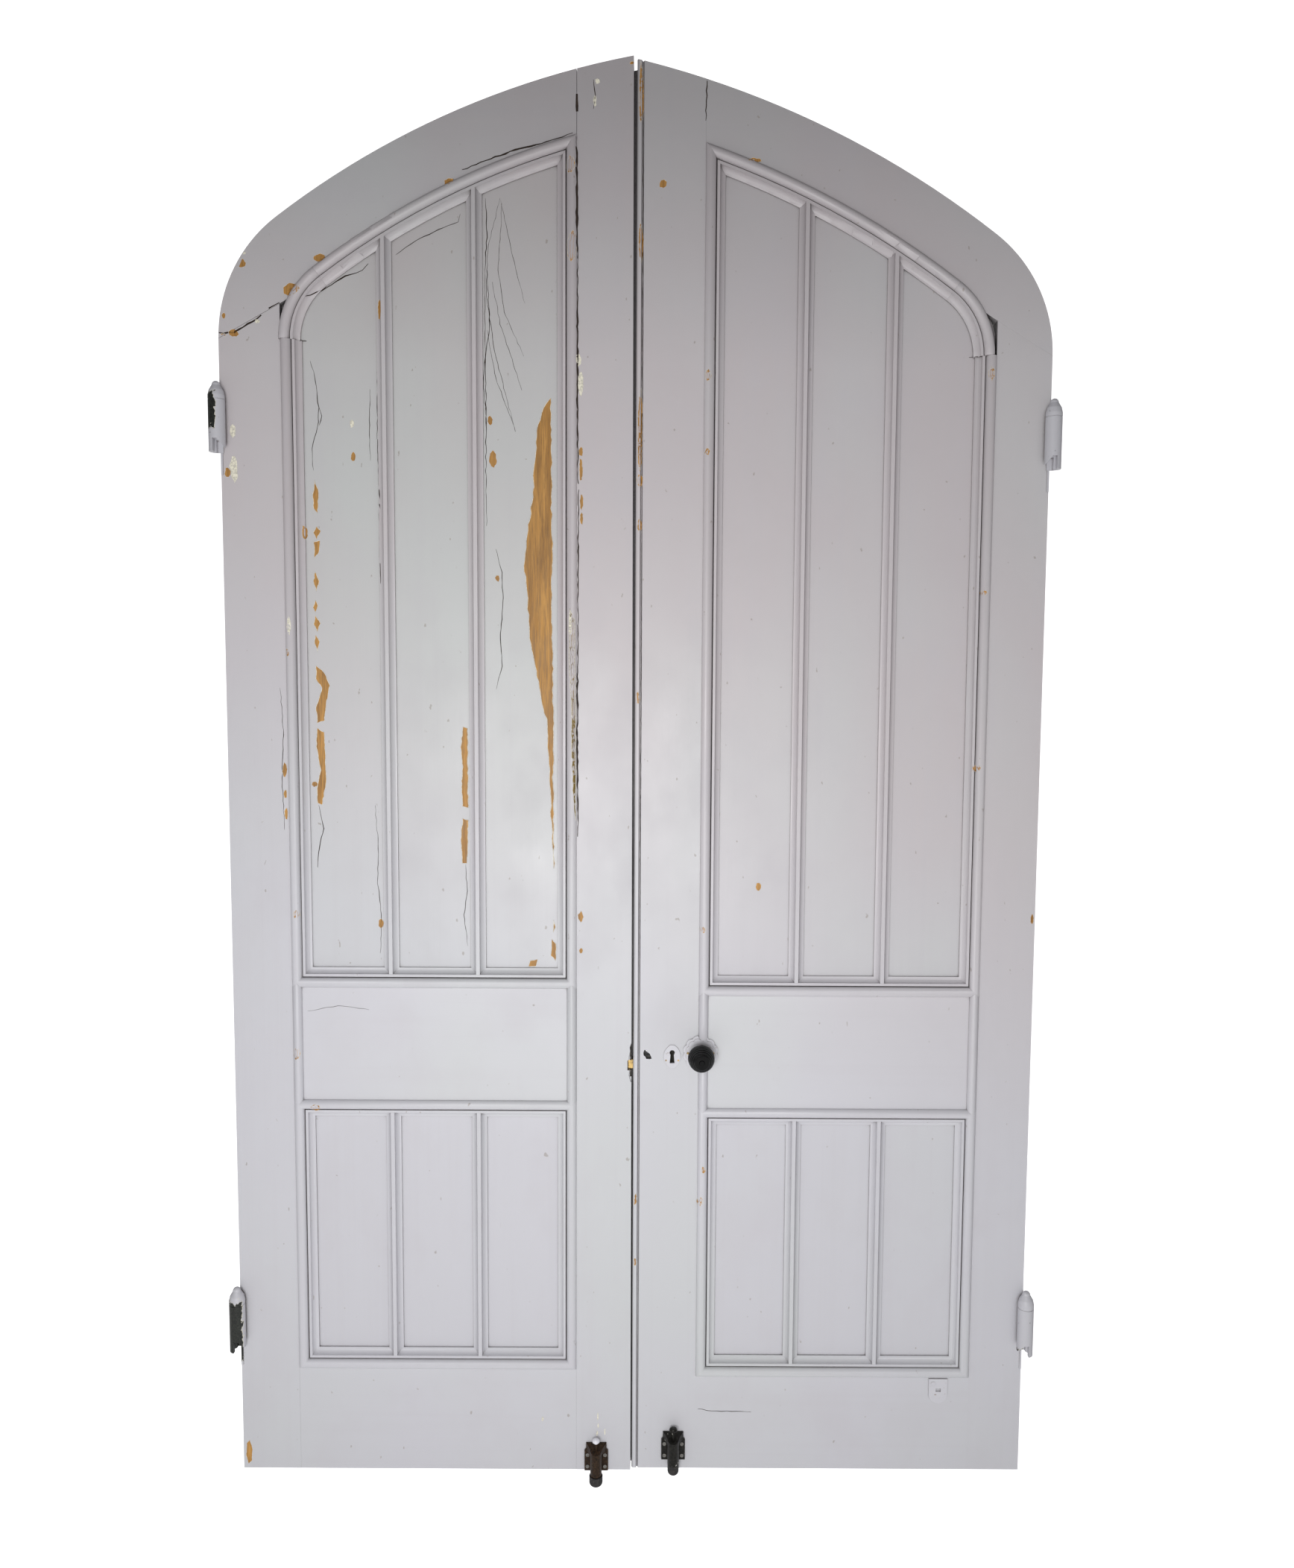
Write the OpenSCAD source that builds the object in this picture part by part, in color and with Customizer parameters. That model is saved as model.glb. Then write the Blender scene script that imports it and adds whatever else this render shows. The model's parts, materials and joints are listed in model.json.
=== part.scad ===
// Pair of arched panelled door leaves: a four-centred arch in two hanging leaves, each of
// stiles, rails and muntins with planted mouldings, lift-off hinge halves, a mortice lock with
// beehive knobs on the right leaf, and a foot bolt on each meeting stile.
// Millimetres. X runs across the pair, -Y faces the front, Z is up. The origin is on the floor,
// under the middle of the meeting line, at half the thickness of the leaves.

/* [Pair of leaves] */
// Width over the two hinge edges
pair_w = 1420; // [1180:10:1750]
// Thickness of each leaf
leaf_t = 45; // [42:1:60]
// Gap between the meeting edges at the crown
gap_top = 6; // [3:0.5:8]
// Gap between the meeting edges at the floor
gap_bottom = 2; // [2:0.5:4]

/* [Arch] */
// Springing of the left leaf's arch above its bottom edge
left_spring = 2020; // [1700:5:2450]
// Springing of the right leaf's arch above its bottom edge
right_spring = 1998; // [1690:5:2430]
// Rise of the left leaf's arch over its springing, at the middle of the pair
left_rise = 465; // [430:5:560]
// Rise of the right leaf's arch over its springing, at the middle of the pair
right_rise = 481; // [430:5:560]
// Radius of the tight curve at the haunch
haunch_r = 250; // [200:5:280]
// Angle that the haunch curve turns through
haunch_angle = 53.5; // [48:0.5:56]

/* [Framing] */
// Width of the left leaf's hinge stile
left_hinge_stile_w = 105; // [85:1:130]
// Width of the right leaf's hinge stile
right_hinge_stile_w = 95; // [80:1:130]
// Left meeting stile, from the meeting line to its inner edge
left_meeting_stile_w = 100; // [90:1:130]
// Right meeting stile, from the meeting line to its inner edge
right_meeting_stile_w = 117; // [112:1:130]
// Width of the left leaf's arched head
left_head_w = 102; // [85:1:120]
// Width of the right leaf's arched head
right_head_w = 98; // [85:1:120]
// Height of the left leaf's bottom rail
left_bottom_rail_h = 192; // [150:1:230]
// Height of the right leaf's bottom rail
right_bottom_rail_h = 180; // [150:1:230]
// Height of the opening for the lower panels
lower_opening_h = 502; // [420:1:502]
// Height of the right leaf's bottom edge above the left leaf's
right_foot_rise = 4; // [0:1:10]
// Height of the lock rail
lock_rail_h = 204; // [190:1:245]
// Thickness of the tenons
tenon_t = 15; // [12:1:18]
// Length of the tenons
tenon_l = 62; // [45:1:66]
// Clearance of a tenon in its mortise
tenon_play = 0.2; // [0.1:0.05:0.4]
// Depth that the rear tongue of the left leaf is let behind the right leaf
rebate_w = 12; // [8:1:14]
// Position of the rebate behind the middle of the thickness
rebate_y = 2.5; // [2:0.5:5]
// Gap between the tongue's end and the rebate
rebate_gap = 4; // [4:0.5:6]
// Drop of the tongue's top end below the arch
tongue_drop = 12; // [0:1:20]
// Slope length of the joint between hinge stile and arched head
scarf_rise = 58; // [30:1:75]
// Opened joint between the left leaf's head and its stiles
open_joint = 0.7; // [0.2:0.1:0.9]

/* [Panels and mouldings] */
// Thickness of the panels
panel_t = 16; // [12:1:18]
// Depth of the panels' face behind the face of the frame
panel_recess = 14; // [13:0.5:15]
// Depth that a panel enters its grooves
panel_tongue = 8; // [5:0.5:9]
// Clearance of a panel in its grooves
panel_play = 0.2; // [0.1:0.05:0.4]
// Space left at the bottom of each groove
groove_room = 1.5; // [1:0.5:3]
// Width of the planted round bead
bead_w = 17.5; // [14:0.5:20]
// Height of the bead in front of the frame's face
bead_rise = 7.5; // [5:0.5:8]
// Width of the quirk beside the bead
quirk_w = 2; // [1:0.5:3]
// Depth of the quirk
quirk_d = 3; // [2:0.5:5]
// Width of the flat fillet between quirk and cove
fillet_w = 4.5; // [3:0.5:7]
// Radius of the cove beside the panel
cove_r = 10; // [7:0.5:11]
// Step above the cove, and the width of its foot
cove_step = 1; // [0.5:0.5:2]
// Width of a muntin's flat face
muntin_face = 6.5; // [5:0.5:12]
// Diameter of the bead on the right leaf's meeting edge
edge_bead = 9; // [6:0.5:12]
// Width of the quirk beside the meeting edge's bead
edge_quirk = 3; // [2:0.5:4]

/* [Hinges] */
// Radius of the knuckle
knuckle_r = 14; // [12:0.5:16]
// Radius of the bore that takes the frame half's pin
pin_bore_r = 7; // [5:0.5:7.5]
// Height of the knuckle, with its finial
knuckle_h = 118; // [108:1:130]
// Height of the finial
finial_h = 24; // [18:1:28]
// Radius at the finial's rounded tip
finial_tip_r = 7; // [5:0.5:8]
// Depth of the blind end of the bore below the finial's tip
bore_top = 31; // [28:1:36]
// Height of the forked lower end of the knuckle
fork_h = 21; // [15:1:26]
// Width of the slot in the forked end
fork_slot = 7.5; // [5:0.5:9]
// Distance of the knuckle's axis outside the hinge edge
hinge_offset = 1; // [0:0.5:2]
// Height of the plate let into the hinge edge
hinge_plate_h = 118; // [100:1:130]
// Thickness of the hinge plate
hinge_plate_t = 3.5; // [3:0.5:5]
// Width of the hinge plate on the hinge edge
hinge_plate_w = 37; // [28:1:38]
// Drop of the plate's top below the finial's tip
hinge_plate_drop = 36; // [32:1:45]
// Tip of the left leaf's upper hinge above the leaf's bottom
left_upper_hinge_z = 1946; // [1500:1:1990]
// Tip of the right leaf's upper hinge above the leaf's bottom
right_upper_hinge_z = 1924; // [1500:1:1980]
// Tip of both lower hinges above the leaf's bottom
lower_hinge_z = 352; // [250:1:500]
// Spacing of the hinge screws
hinge_screw_gap = 38; // [30:1:45]

/* [Lock] */
// Height of the spindle above the leaf's bottom
spindle_z = 783; // [740:1:800]
// Distance from the meeting line to the spindle
spindle_x = 121; // [110:1:125]
// Distance from the meeting line to the keyhole
keyhole_x = 70.5; // [60:0.5:80]
// Height of the lock case
case_h = 72; // [68:1:76]
// Thickness of the lock case
case_t = 14; // [12:1:15]
// Length of the lock case behind the meeting edge
case_l = 146; // [140:1:150]
// Wall of the lock case
case_wall = 1.5; // [1:0.25:2]
// Distance of the lock's middle plane in front of the leaf's middle
lock_forward = 9; // [8.5:0.5:9.5]
// Distance of the bolts above and below the spindle
bolt_spread = 24; // [22:1:26]
// Height of each bolt head
bolt_h = 16; // [12:1:18]
// Thickness of each bolt head
bolt_t = 9; // [8:0.5:10]
// Reach of the latch bolt in front of the forend
latch_reach = 9; // [6:0.5:10]
// Stroke of the dead bolt
dead_stroke = 14; // [10:1:15]
// Width of the square spindle
spindle_w = 8; // [6:0.5:9]
// Running clearance of the spindle's necks and of the bolts
running_play = 0.08; // [0.05:0.01:0.1]
// Radius of the keyhole's round part
key_r = 4.7; // [4:0.1:5]
// Height of the keyhole from its lower end to the middle of its round part
key_drop = 19; // [16:0.5:20]

/* [Door furniture] */
// Diameter of the beehive knobs
knob_d = 47; // [40:1:52]
// Projection of each knob from the face of the leaf
knob_reach = 64; // [56:1:72]
// Diameter of the roses
rose_d = 63; // [58:1:66]
// Number of scallops on each rose
rose_scallops = 12; // [8:1:16]
// Thickness of the rose's rim
rose_t = 2.4; // [2:0.2:3]
// Width of the escutcheons
escutcheon_w = 30; // [24:1:32]
// Height of the escutcheons
escutcheon_h = 45; // [40:1:48]
// Thickness of the escutcheons
escutcheon_t = 1.6; // [1.2:0.2:2.4]

/* [Foot bolts] */
// Distance from the meeting line to the left foot bolt
left_bolt_x = 63.5; // [55:0.5:70]
// Distance from the meeting line to the right foot bolt
right_bolt_x = 77; // [62:0.5:85]
// Height of the right foot bolt's plate above the leaf's bottom
right_bolt_z = 22; // [10:1:40]
// Width of the foot bolt's plate
bolt_plate_w = 43; // [38:1:46]
// Height of the foot bolt's plate
bolt_plate_h = 53; // [50:1:60]
// Radius of the foot bolt's barrel
barrel_r = 10.5; // [10:0.5:12]
// Radius of the rod in the barrel
rod_r = 7; // [6:0.5:7.5]
// Distance of the rod's axis in front of the leaf
rod_forward = 15; // [14:0.5:17]
// Height of the rounded shoe under the barrel
shoe_h = 20; // [18:1:24]
// Stroke of the foot bolts
foot_stroke = 10.5; // [8:0.5:14]

/* [Hidden] */
$fn = 64;

LEFT = 0;
RIGHT = 1;
EPS = 0.01;
FAR = 4000;

// The leaves stand clear of the floor by the reach of the left foot bolt's shoe
floor_gap = shoe_h;
half_w = pair_w / 2;
face = -leaf_t / 2;
back = leaf_t / 2;
panel_front = face + panel_recess;
panel_back = panel_front + panel_t;

// Values of the two leaves, as [left, right]
spring_z = [left_spring, right_spring];
rise = [left_rise, right_rise];
hinge_stile_w = [left_hinge_stile_w, right_hinge_stile_w];
inner_u = [half_w - left_meeting_stile_w, half_w - right_meeting_stile_w];
head_w = [left_head_w, right_head_w];
bottom_rail_h = [left_bottom_rail_h, right_bottom_rail_h];
lock_z0 = [bottom_rail_h[LEFT] + lower_opening_h, bottom_rail_h[RIGHT] + lower_opening_h];
lock_z1 = [lock_z0[LEFT] + lock_rail_h, lock_z0[RIGHT] + lock_rail_h];
head_joint = [open_joint, 0.1];
foot_z = [0, right_foot_rise];

// Four-centred arch: the haunch's centre, the crown's extra radius and the crown's centre
function haunch_centre(side) = [haunch_r, spring_z[side]];
function crown_extra(side) =
    let (p = haunch_r - half_w, h = rise[side])
    (p * p + h * h - haunch_r * haunch_r)
    / (2 * (haunch_r - p * cos(haunch_angle) - h * sin(haunch_angle)));
function crown_r(side) = haunch_r + crown_extra(side);
function crown_centre(side) =
    haunch_centre(side) + crown_extra(side) * [cos(haunch_angle), -sin(haunch_angle)];
// Height of the arch, moved inwards by off, at the distance u from the hinge edge
function crown_z(side, off, u) =
    let (c = crown_centre(side), r = crown_r(side) - off)
    c[1] + sqrt(r * r - (u - c[0]) * (u - c[0]));

// Moulding section
cove_at = bead_w + quirk_w + fillet_w;
// The cove starts behind a small ledge and stops just short of its tangent
ledge = 0.3;
muntin_step = cove_step - 0.2;
moulding_w = cove_at + cove_r;
bead_sink = bead_w / 2 - bead_rise;
muntin_w = muntin_face + 2 * cove_r;
bays = 3;
function bay_w(side) =
    (inner_u[side] - hinge_stile_w[side] - 2 * cove_at - (bays - 1) * muntin_face) / bays;
function muntin_u(side, i) =
    hinge_stile_w[side] + cove_at + i * bay_w(side) + (i - 0.5) * muntin_face;
// Edges of the open panel i, counted from the hinge side
function panel_u0(side, i) = (i == 0)
    ? hinge_stile_w[side] : muntin_u(side, i) + muntin_w / 2;
function panel_u1(side, i) = (i == bays - 1)
    ? inner_u[side] : muntin_u(side, i + 1) - muntin_w / 2;

// Lock
lip_edge = 1;
case_x0 = lip_edge + 3;
forend_h = case_h + 34;
lock_y = -lock_forward;
bolt_head_l = 32;
latch_z = spindle_z - bolt_spread;
dead_z = spindle_z + bolt_spread;
strike_h = 90;
snib_x = 26;
snib_z = spindle_z - 4;
hub_r = 11;
boss_r = 6.5;
arm_x = spindle_x + 0.4;
arm_w = 5;
tail_y = case_t / 2 - case_wall - 0.7;

// Places a piece drawn in leaf coordinates: u from the hinge edge, z from the leaf's bottom
module on_leaf(side)
{
    translate([side == LEFT ? -half_w : half_w, 0, floor_gap])
        mirror([side, 0, 0])
            children();
}

// Places a piece drawn from the meeting line, with z from the leaf's bottom
module from_meeting_line()
{
    translate([0, 0, floor_gap]) children();
}

// Extrudes an elevation drawn in the XZ plane from y0 to y1
module slab(y0, y1)
{
    translate([0, y1, 0]) rotate([90, 0, 0]) linear_extrude(y1 - y0) children();
}

// Elevation under the arch, with its edge moved inwards by off, up to the distance u_max
module arch_area(side, off, u_max)
{
    c1 = haunch_centre(side);
    c2 = crown_centre(side);
    lean = [-cos(haunch_angle), sin(haunch_angle)];
    translate([off, foot_z[side]]) square([u_max - off, spring_z[side] - foot_z[side]]);
    intersection() {
        translate(c1) circle(r = haunch_r - off, $fn = 180);
        square([u_max, FAR]);
    }
    intersection() {
        translate(c2) circle(r = crown_r(side) - off, $fn = 720);
        polygon([c2, c2 + FAR * lean, c2 + FAR * lean + [FAR * 2, 0], c2 + [FAR, 0]]);
        square([u_max, FAR]);
    }
}

// ---- Framing ----

// Height of the joint between hinge stile and arched head at the distance u
function scarf_z(side, u) = spring_z[side] + scarf_rise * u / hinge_stile_w[side];

module below_scarf(side, shift)
{
    w = hinge_stile_w[side] + 20;
    polygon([[-20, 0], [w, 0], [w, scarf_z(side, w) + shift], [-20, scarf_z(side, -20) + shift]]);
}

// Spaces for the panels, cut out of all the framing round them
module panel_spaces(side)
{
    room = panel_tongue + groove_room;
    slab(panel_front - panel_play, panel_back + panel_play) {
        for (i = [0 : bays - 1]) {
            u0 = panel_u0(side, i) - room;
            u1 = panel_u1(side, i) + room;
            translate([u0, bottom_rail_h[side] - room])
                square([u1 - u0, lower_opening_h + 2 * room]);
            intersection() {
                translate([u0, lock_z1[side] - room]) square([u1 - u0, FAR]);
                arch_area(side, head_w[side] - room, half_w);
            }
        }
    }
}

// A tenon, or with play its mortise, in the elevation from a to b
module tenon(a, b, play = 0)
{
    slab(-tenon_t / 2 - play, tenon_t / 2 + play)
        translate(a - [play, play]) square([b[0] - a[0] + 2 * play, b[1] - a[1] + 2 * play]);
}

function lower_tenon_z(side) = [20, bottom_rail_h[side] - 30];

module bottom_rail_tenons(side, play = 0)
{
    z = lower_tenon_z(side);
    tenon([hinge_stile_w[side] - tenon_l, z[0]], [hinge_stile_w[side] + 1, z[1]], play);
    tenon([inner_u[side] - 1, z[0]], [inner_u[side] + tenon_l, z[1]], play);
}

// On the lock side the tenon is a pair, above and below the lock case
module lock_rail_tenons(side, play = 0)
{
    z0 = lock_z0[side] + 20;
    z1 = lock_z1[side] - 20;
    tenon([hinge_stile_w[side] - tenon_l, z0], [hinge_stile_w[side] + 1, z1], play);
    if (side == LEFT) {
        tenon([inner_u[side] - 1, z0], [inner_u[side] + tenon_l, z1], play);
    } else {
        tenon([inner_u[side] - 1, z0], [inner_u[side] + tenon_l, latch_z - 22], play);
        tenon([inner_u[side] - 1, dead_z + 22], [inner_u[side] + tenon_l, z1], play);
    }
}

module head_tenons(side, play = 0)
{
    top = crown_z(side, 0, inner_u[side]) - 26;
    tenon([inner_u[side] - 1, top - 45], [inner_u[side] + tenon_l, top], play);
    mid = hinge_stile_w[side] / 2;
    tenon([mid - 18, scarf_z(side, mid) - tenon_l], [mid + 18, scarf_z(side, mid) + 12], play);
}

module hinge_stile(side)
{
    difference() {
        slab(face, back)
            intersection() {
                arch_area(side, 0, hinge_stile_w[side]);
                below_scarf(side, 0);
            }
        slab(face - 1, back + 1)
            intersection() {
                arch_area(side, head_w[side], half_w);
                translate([0, spring_z[side]]) square([half_w, FAR]);
            }
        panel_spaces(side);
        bottom_rail_tenons(side, tenon_play);
        lock_rail_tenons(side, tenon_play);
        head_tenons(side, tenon_play);
        for (z = hinge_tips(side)) {
            hinge_recess(z);
            hinge_screw_set(z, 0.05);
        }
    }
}

// Front half of the left leaf's meeting edge leans away from the meeting line towards the crown
module left_edge_area()
{
    top_z = crown_z(LEFT, 0, half_w);
    polygon([
        [inner_u[LEFT], 0], [half_w + lip_edge - gap_bottom, 0],
        [half_w + lip_edge - gap_top, top_z], [half_w + lip_edge - gap_top, FAR],
        [inner_u[LEFT], FAR]
    ]);
}

module left_meeting_stile_body()
{
    slab(face, back)
        intersection() {
            arch_area(LEFT, 0, half_w);
            left_edge_area();
        }
    tongue_u0 = half_w - gap_top - 6;
    slab(rebate_y + 0.5, back)
        intersection() {
            arch_area(LEFT, tongue_drop, half_w + lip_edge + rebate_w);
            translate([tongue_u0, 0]) square([half_w + lip_edge + rebate_w - tongue_u0, FAR]);
        }
}

module right_meeting_stile_body()
{
    bead_r = edge_bead / 2;
    edge_u = half_w - lip_edge;
    difference() {
        slab(face, back)
            intersection() {
                arch_area(RIGHT, 0, edge_u);
                translate([inner_u[RIGHT], 0]) square([FAR, FAR]);
            }
        // Rebate behind the lip
        slab(rebate_y, back + 1)
            translate([edge_u - rebate_w - rebate_gap, -1]) square([FAR, FAR]);
        // Round of the bead on the front arris
        translate([edge_u - bead_r + 0.1, face + bead_r - 0.1, -1])
            linear_extrude(FAR)
                difference() {
                    translate([0, -bead_r - 1]) square([bead_r + 1, bead_r + 1]);
                    circle(r = bead_r);
                }
        // Quirk behind the bead
        translate([edge_u - edge_bead, face, -1])
            linear_extrude(FAR)
                polygon([[bead_r * 0.3, -EPS], [-edge_quirk, -EPS], [-edge_quirk * 0.5, 4], [0, 4]]);
    }
}

module meeting_stile(side)
{
    difference() {
        if (side == LEFT) {
            left_meeting_stile_body();
        } else {
            right_meeting_stile_body();
        }
        panel_spaces(side);
        bottom_rail_tenons(side, tenon_play);
        lock_rail_tenons(side, tenon_play);
        head_tenons(side, tenon_play);
    }
}

module arched_head(side)
{
    difference() {
        union() {
            slab(face, back)
                difference() {
                    arch_area(side, 0, inner_u[side] - head_joint[side]);
                    arch_area(side, head_w[side], half_w);
                    below_scarf(side, head_joint[side]);
                }
            head_tenons(side);
        }
        panel_spaces(side);
        muntin_stubs(side, tenon_play);
    }
}

module lock_rail(side)
{
    difference() {
        union() {
            slab(face, back)
                translate([hinge_stile_w[side], lock_z0[side]])
                    square([inner_u[side] - hinge_stile_w[side], lock_rail_h]);
            lock_rail_tenons(side);
        }
        panel_spaces(side);
        muntin_stubs(side, tenon_play);
    }
}

module bottom_rail(side)
{
    difference() {
        union() {
            slab(face, back)
                translate([hinge_stile_w[side], foot_z[side]])
                    square([inner_u[side] - hinge_stile_w[side],
                            bottom_rail_h[side] - foot_z[side]]);
            bottom_rail_tenons(side);
        }
        panel_spaces(side);
        muntin_stubs(side, tenon_play);
    }
}

// ---- Muntins ----

// Plan of a muntin: square behind, coved in front down to a narrow flat face
module muntin_plan()
{
    difference() {
        translate([-muntin_w / 2, face]) square([muntin_w, leaf_t]);
        for (s = [-1, 1]) {
            translate([s * (muntin_face / 2 + cove_r + ledge), face + muntin_step])
                circle(r = cove_r);
            translate([s * (muntin_face / 2 + cove_r), face])
                square([2 * cove_r, 2 * muntin_step], center = true);
        }
    }
}

stub_l = 16;
stub_w = muntin_w - 2 * panel_tongue - 2 * groove_room - 1;

// Stub tenons at the muntins' ends, or with play their mortises
module muntin_stub(u, z0, z1, play)
{
    slab(-tenon_t / 2 - play, tenon_t / 2 + play)
        translate([u - stub_w / 2 - play, z0 - play])
            square([stub_w + 2 * play, z1 - z0 + 2 * play]);
}

module muntin_stubs(side, play = 0)
{
    for (i = [1 : bays - 1]) {
        u = muntin_u(side, i);
        top = crown_z(side, head_w[side], u);
        muntin_stub(u, bottom_rail_h[side] - stub_l, lock_z0[side] + stub_l, play);
        muntin_stub(u, lock_z1[side] - stub_l, top + stub_l, play);
    }
}

module muntin_grooves(u)
{
    web = muntin_w - 2 * panel_tongue - 2 * groove_room;
    slab(panel_front - panel_play, panel_back + panel_play)
        for (s = [-1, 1]) {
            translate([u + s * (web / 2 + 50), FAR / 2]) square([100, FAR], center = true);
        }
}

// Clearance of the muntins' ends under the curved head, cut straight across
scribe_play = 0.2;

// Turns to the arch's slope at the distance u, on the curve moved inwards by off
module on_arch(side, off, u)
{
    c = crown_centre(side);
    z = crown_z(side, off, u);
    translate([u, 0, z]) rotate([0, 90 - atan2(z - c[1], u - c[0]), 0]) children();
}

// Behind the moulding a muntin reaches the head; in front it ends on the moulding's cove
module under_head(side, u)
{
    stock = panel_recess - panel_play + 0.1;
    mid = cove_at + cove_r / 2;
    on_arch(side, head_w[side], u)
        translate([-60, face - 1, -scribe_play]) cube([120, leaf_t + 2, 90]);
    on_arch(side, head_w[side] + mid, u) {
        translate([-60, face - 1, mid - scribe_play - cove_at]) cube([120, stock + 1, 90]);
        run_from_above(mid - scribe_play - arc_play - 0.1, -40, 40, true);
    }
}

module over_rail(u, z)
{
    stock = panel_recess - panel_play + 0.1;
    translate([u - 30, face - 1, z - 1]) cube([60, stock + 1, cove_at + 1.1]);
    run_from_below(z + 0.3, u - 30, u + 30, true);
}

module under_rail(u, z)
{
    stock = panel_recess - panel_play + 0.1;
    translate([u - 30, face - 1, z - cove_at - 0.1]) cube([60, stock + 1, cove_at + 1.1]);
    run_from_above(z - 0.3, u - 30, u + 30, true);
}

module upper_muntins(side)
{
    for (i = [1 : bays - 1]) {
        u = muntin_u(side, i);
        z0 = lock_z1[side];
        top = crown_z(side, head_w[side], u);
        difference() {
            translate([u, 0, z0]) linear_extrude(top - z0 + 30) muntin_plan();
            under_head(side, u);
            over_rail(u, z0);
            muntin_grooves(u);
        }
        muntin_stub(u, z0 - stub_l, z0 + 5, 0);
        muntin_stub(u, top - 30, top + stub_l, 0);
    }
}

module lower_muntins(side)
{
    for (i = [1 : bays - 1]) {
        u = muntin_u(side, i);
        z0 = bottom_rail_h[side];
        z1 = lock_z0[side];
        difference() {
            translate([u, 0, z0]) linear_extrude(z1 - z0) muntin_plan();
            over_rail(u, z0);
            under_rail(u, z1);
            muntin_grooves(u);
        }
        muntin_stub(u, z0 - stub_l, z0 + 5, 0);
        muntin_stub(u, z1 - 5, z1 + stub_l, 0);
    }
}

// ---- Panels ----

module upper_panels(side)
{
    slab(panel_front, panel_back) {
        for (i = [0 : bays - 1]) {
            u0 = panel_u0(side, i) - panel_tongue;
            u1 = panel_u1(side, i) + panel_tongue;
            intersection() {
                translate([u0, lock_z1[side] - panel_tongue]) square([u1 - u0, FAR]);
                arch_area(side, head_w[side] - panel_tongue, half_w);
            }
        }
    }
}

module lower_panels(side)
{
    slab(panel_front, panel_back) {
        for (i = [0 : bays - 1]) {
            u0 = panel_u0(side, i) - panel_tongue;
            u1 = panel_u1(side, i) + panel_tongue;
            translate([u0, bottom_rail_h[side] - panel_tongue])
                square([u1 - u0, lower_opening_h + 2 * panel_tongue]);
        }
    }
}

// ---- Mouldings ----

// Section of the planted moulding: bead, quirk, fillet and cove, from the frame to the panel
module moulding_section()
{
    stock = panel_recess - panel_play;
    difference() {
        union() {
            translate([0, face]) square([cove_at, stock]);
            translate([bead_w / 2, face + bead_sink]) circle(r = bead_w / 2);
            translate([cove_at, face + cove_step])
                square([cove_r, stock - cove_step]);
        }
        translate([bead_w, face])
            polygon([[0, -EPS], [quirk_w, -EPS], [quirk_w / 2, quirk_d]]);
        translate([cove_at + cove_r + ledge, face + cove_step]) circle(r = cove_r);
    }
}

// The cove alone, a little deeper, for scribing the muntins to it
module cove_section()
{
    stock = panel_recess - panel_play + 0.1;
    difference() {
        translate([quirk_w, face + cove_step])
            square([cove_at - quirk_w + cove_r, stock - cove_step]);
        translate([cove_at + cove_r + ledge, face + cove_step]) circle(r = cove_r);
    }
}

module section(scribe)
{
    if (scribe) {
        cove_section();
    } else {
        moulding_section();
    }
}

// Runs of the moulding along the four sides of an opening
module run_from_hinge_side(u, z0, z1)
{
    translate([u, 0, z0]) linear_extrude(z1 - z0) moulding_section();
}

module run_from_meeting_side(u, z0, z1)
{
    translate([u, 0, z0]) mirror([1, 0, 0]) linear_extrude(z1 - z0) moulding_section();
}

module run_from_below(z, u0, u1, scribe = false)
{
    translate([u1, 0, z]) rotate([0, -90, 0]) linear_extrude(u1 - u0) section(scribe);
}

module run_from_above(z, u0, u1, scribe = false)
{
    translate([u0, 0, z]) rotate([0, 90, 0]) linear_extrude(u1 - u0) section(scribe);
}

module run_round_arc(centre, r, from, to)
{
    translate([centre[0], 0, centre[1]])
        rotate([90, 0, 0])
            rotate([0, 0, from])
                rotate_extrude(angle = to - from, $fn = 180)
                    translate([r, 0]) rotate(180) moulding_section();
}

module keep_area(points)
{
    slab(face - bead_w, back) polygon(points);
}

mitre_gap = 0.1;
arc_play = 0.15;

// Corners of the mitre between the arched run and the meeting side's run
function mitre_outer(side) = [inner_u[side], crown_z(side, head_w[side], inner_u[side])];
function mitre_inner(side) =
    let (u = inner_u[side] - moulding_w)
    [u, crown_z(side, head_w[side] + moulding_w, u)];

module upper_hinge_run(side)
{
    u = hinge_stile_w[side];
    z = lock_z1[side];
    m = moulding_w;
    intersection() {
        run_from_hinge_side(u, z, spring_z[side] - 0.15);
        keep_area([[u, z], [u + m, z + m], [u + m, FAR], [u, FAR]]);
    }
}

module upper_meeting_run(side)
{
    u = inner_u[side];
    z = lock_z1[side];
    m = moulding_w;
    outer = mitre_outer(side);
    intersection() {
        run_from_meeting_side(u, z, outer[1]);
        keep_area([[u, z], outer, mitre_inner(side), [u - m, z + m]]);
    }
}

module upper_bottom_run(side)
{
    u0 = hinge_stile_w[side];
    u1 = inner_u[side];
    z = lock_z1[side];
    m = moulding_w;
    intersection() {
        run_from_below(z, u0, u1);
        keep_area([[u0, z], [u1, z], [u1 - m, z + m], [u0 + m, z + m]]);
    }
}

module haunch_run(side)
{
    r = haunch_r - head_w[side] - arc_play;
    run_round_arc(haunch_centre(side), r, 180 - haunch_angle, 180);
}

module crown_run(side)
{
    outer = mitre_outer(side);
    inner = mitre_inner(side);
    lean = outer - inner;
    intersection() {
        run_round_arc(crown_centre(side), crown_r(side) - head_w[side] - arc_play,
                      crown_end_angle(side), 180 - haunch_angle - 0.005);
        translate([-mitre_gap, 0, 0])
            keep_area([
                outer + lean, inner - lean, [inner[0] - lean[0], 0], [-100, 0],
                [-100, outer[1] + lean[1]]
            ]);
    }
}

// Angle about the crown's centre just past the mitre
function crown_end_angle(side) =
    let (c = crown_centre(side), o = mitre_outer(side))
    atan2(o[1] - c[1], o[0] - c[0]) - 1.5;

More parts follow.
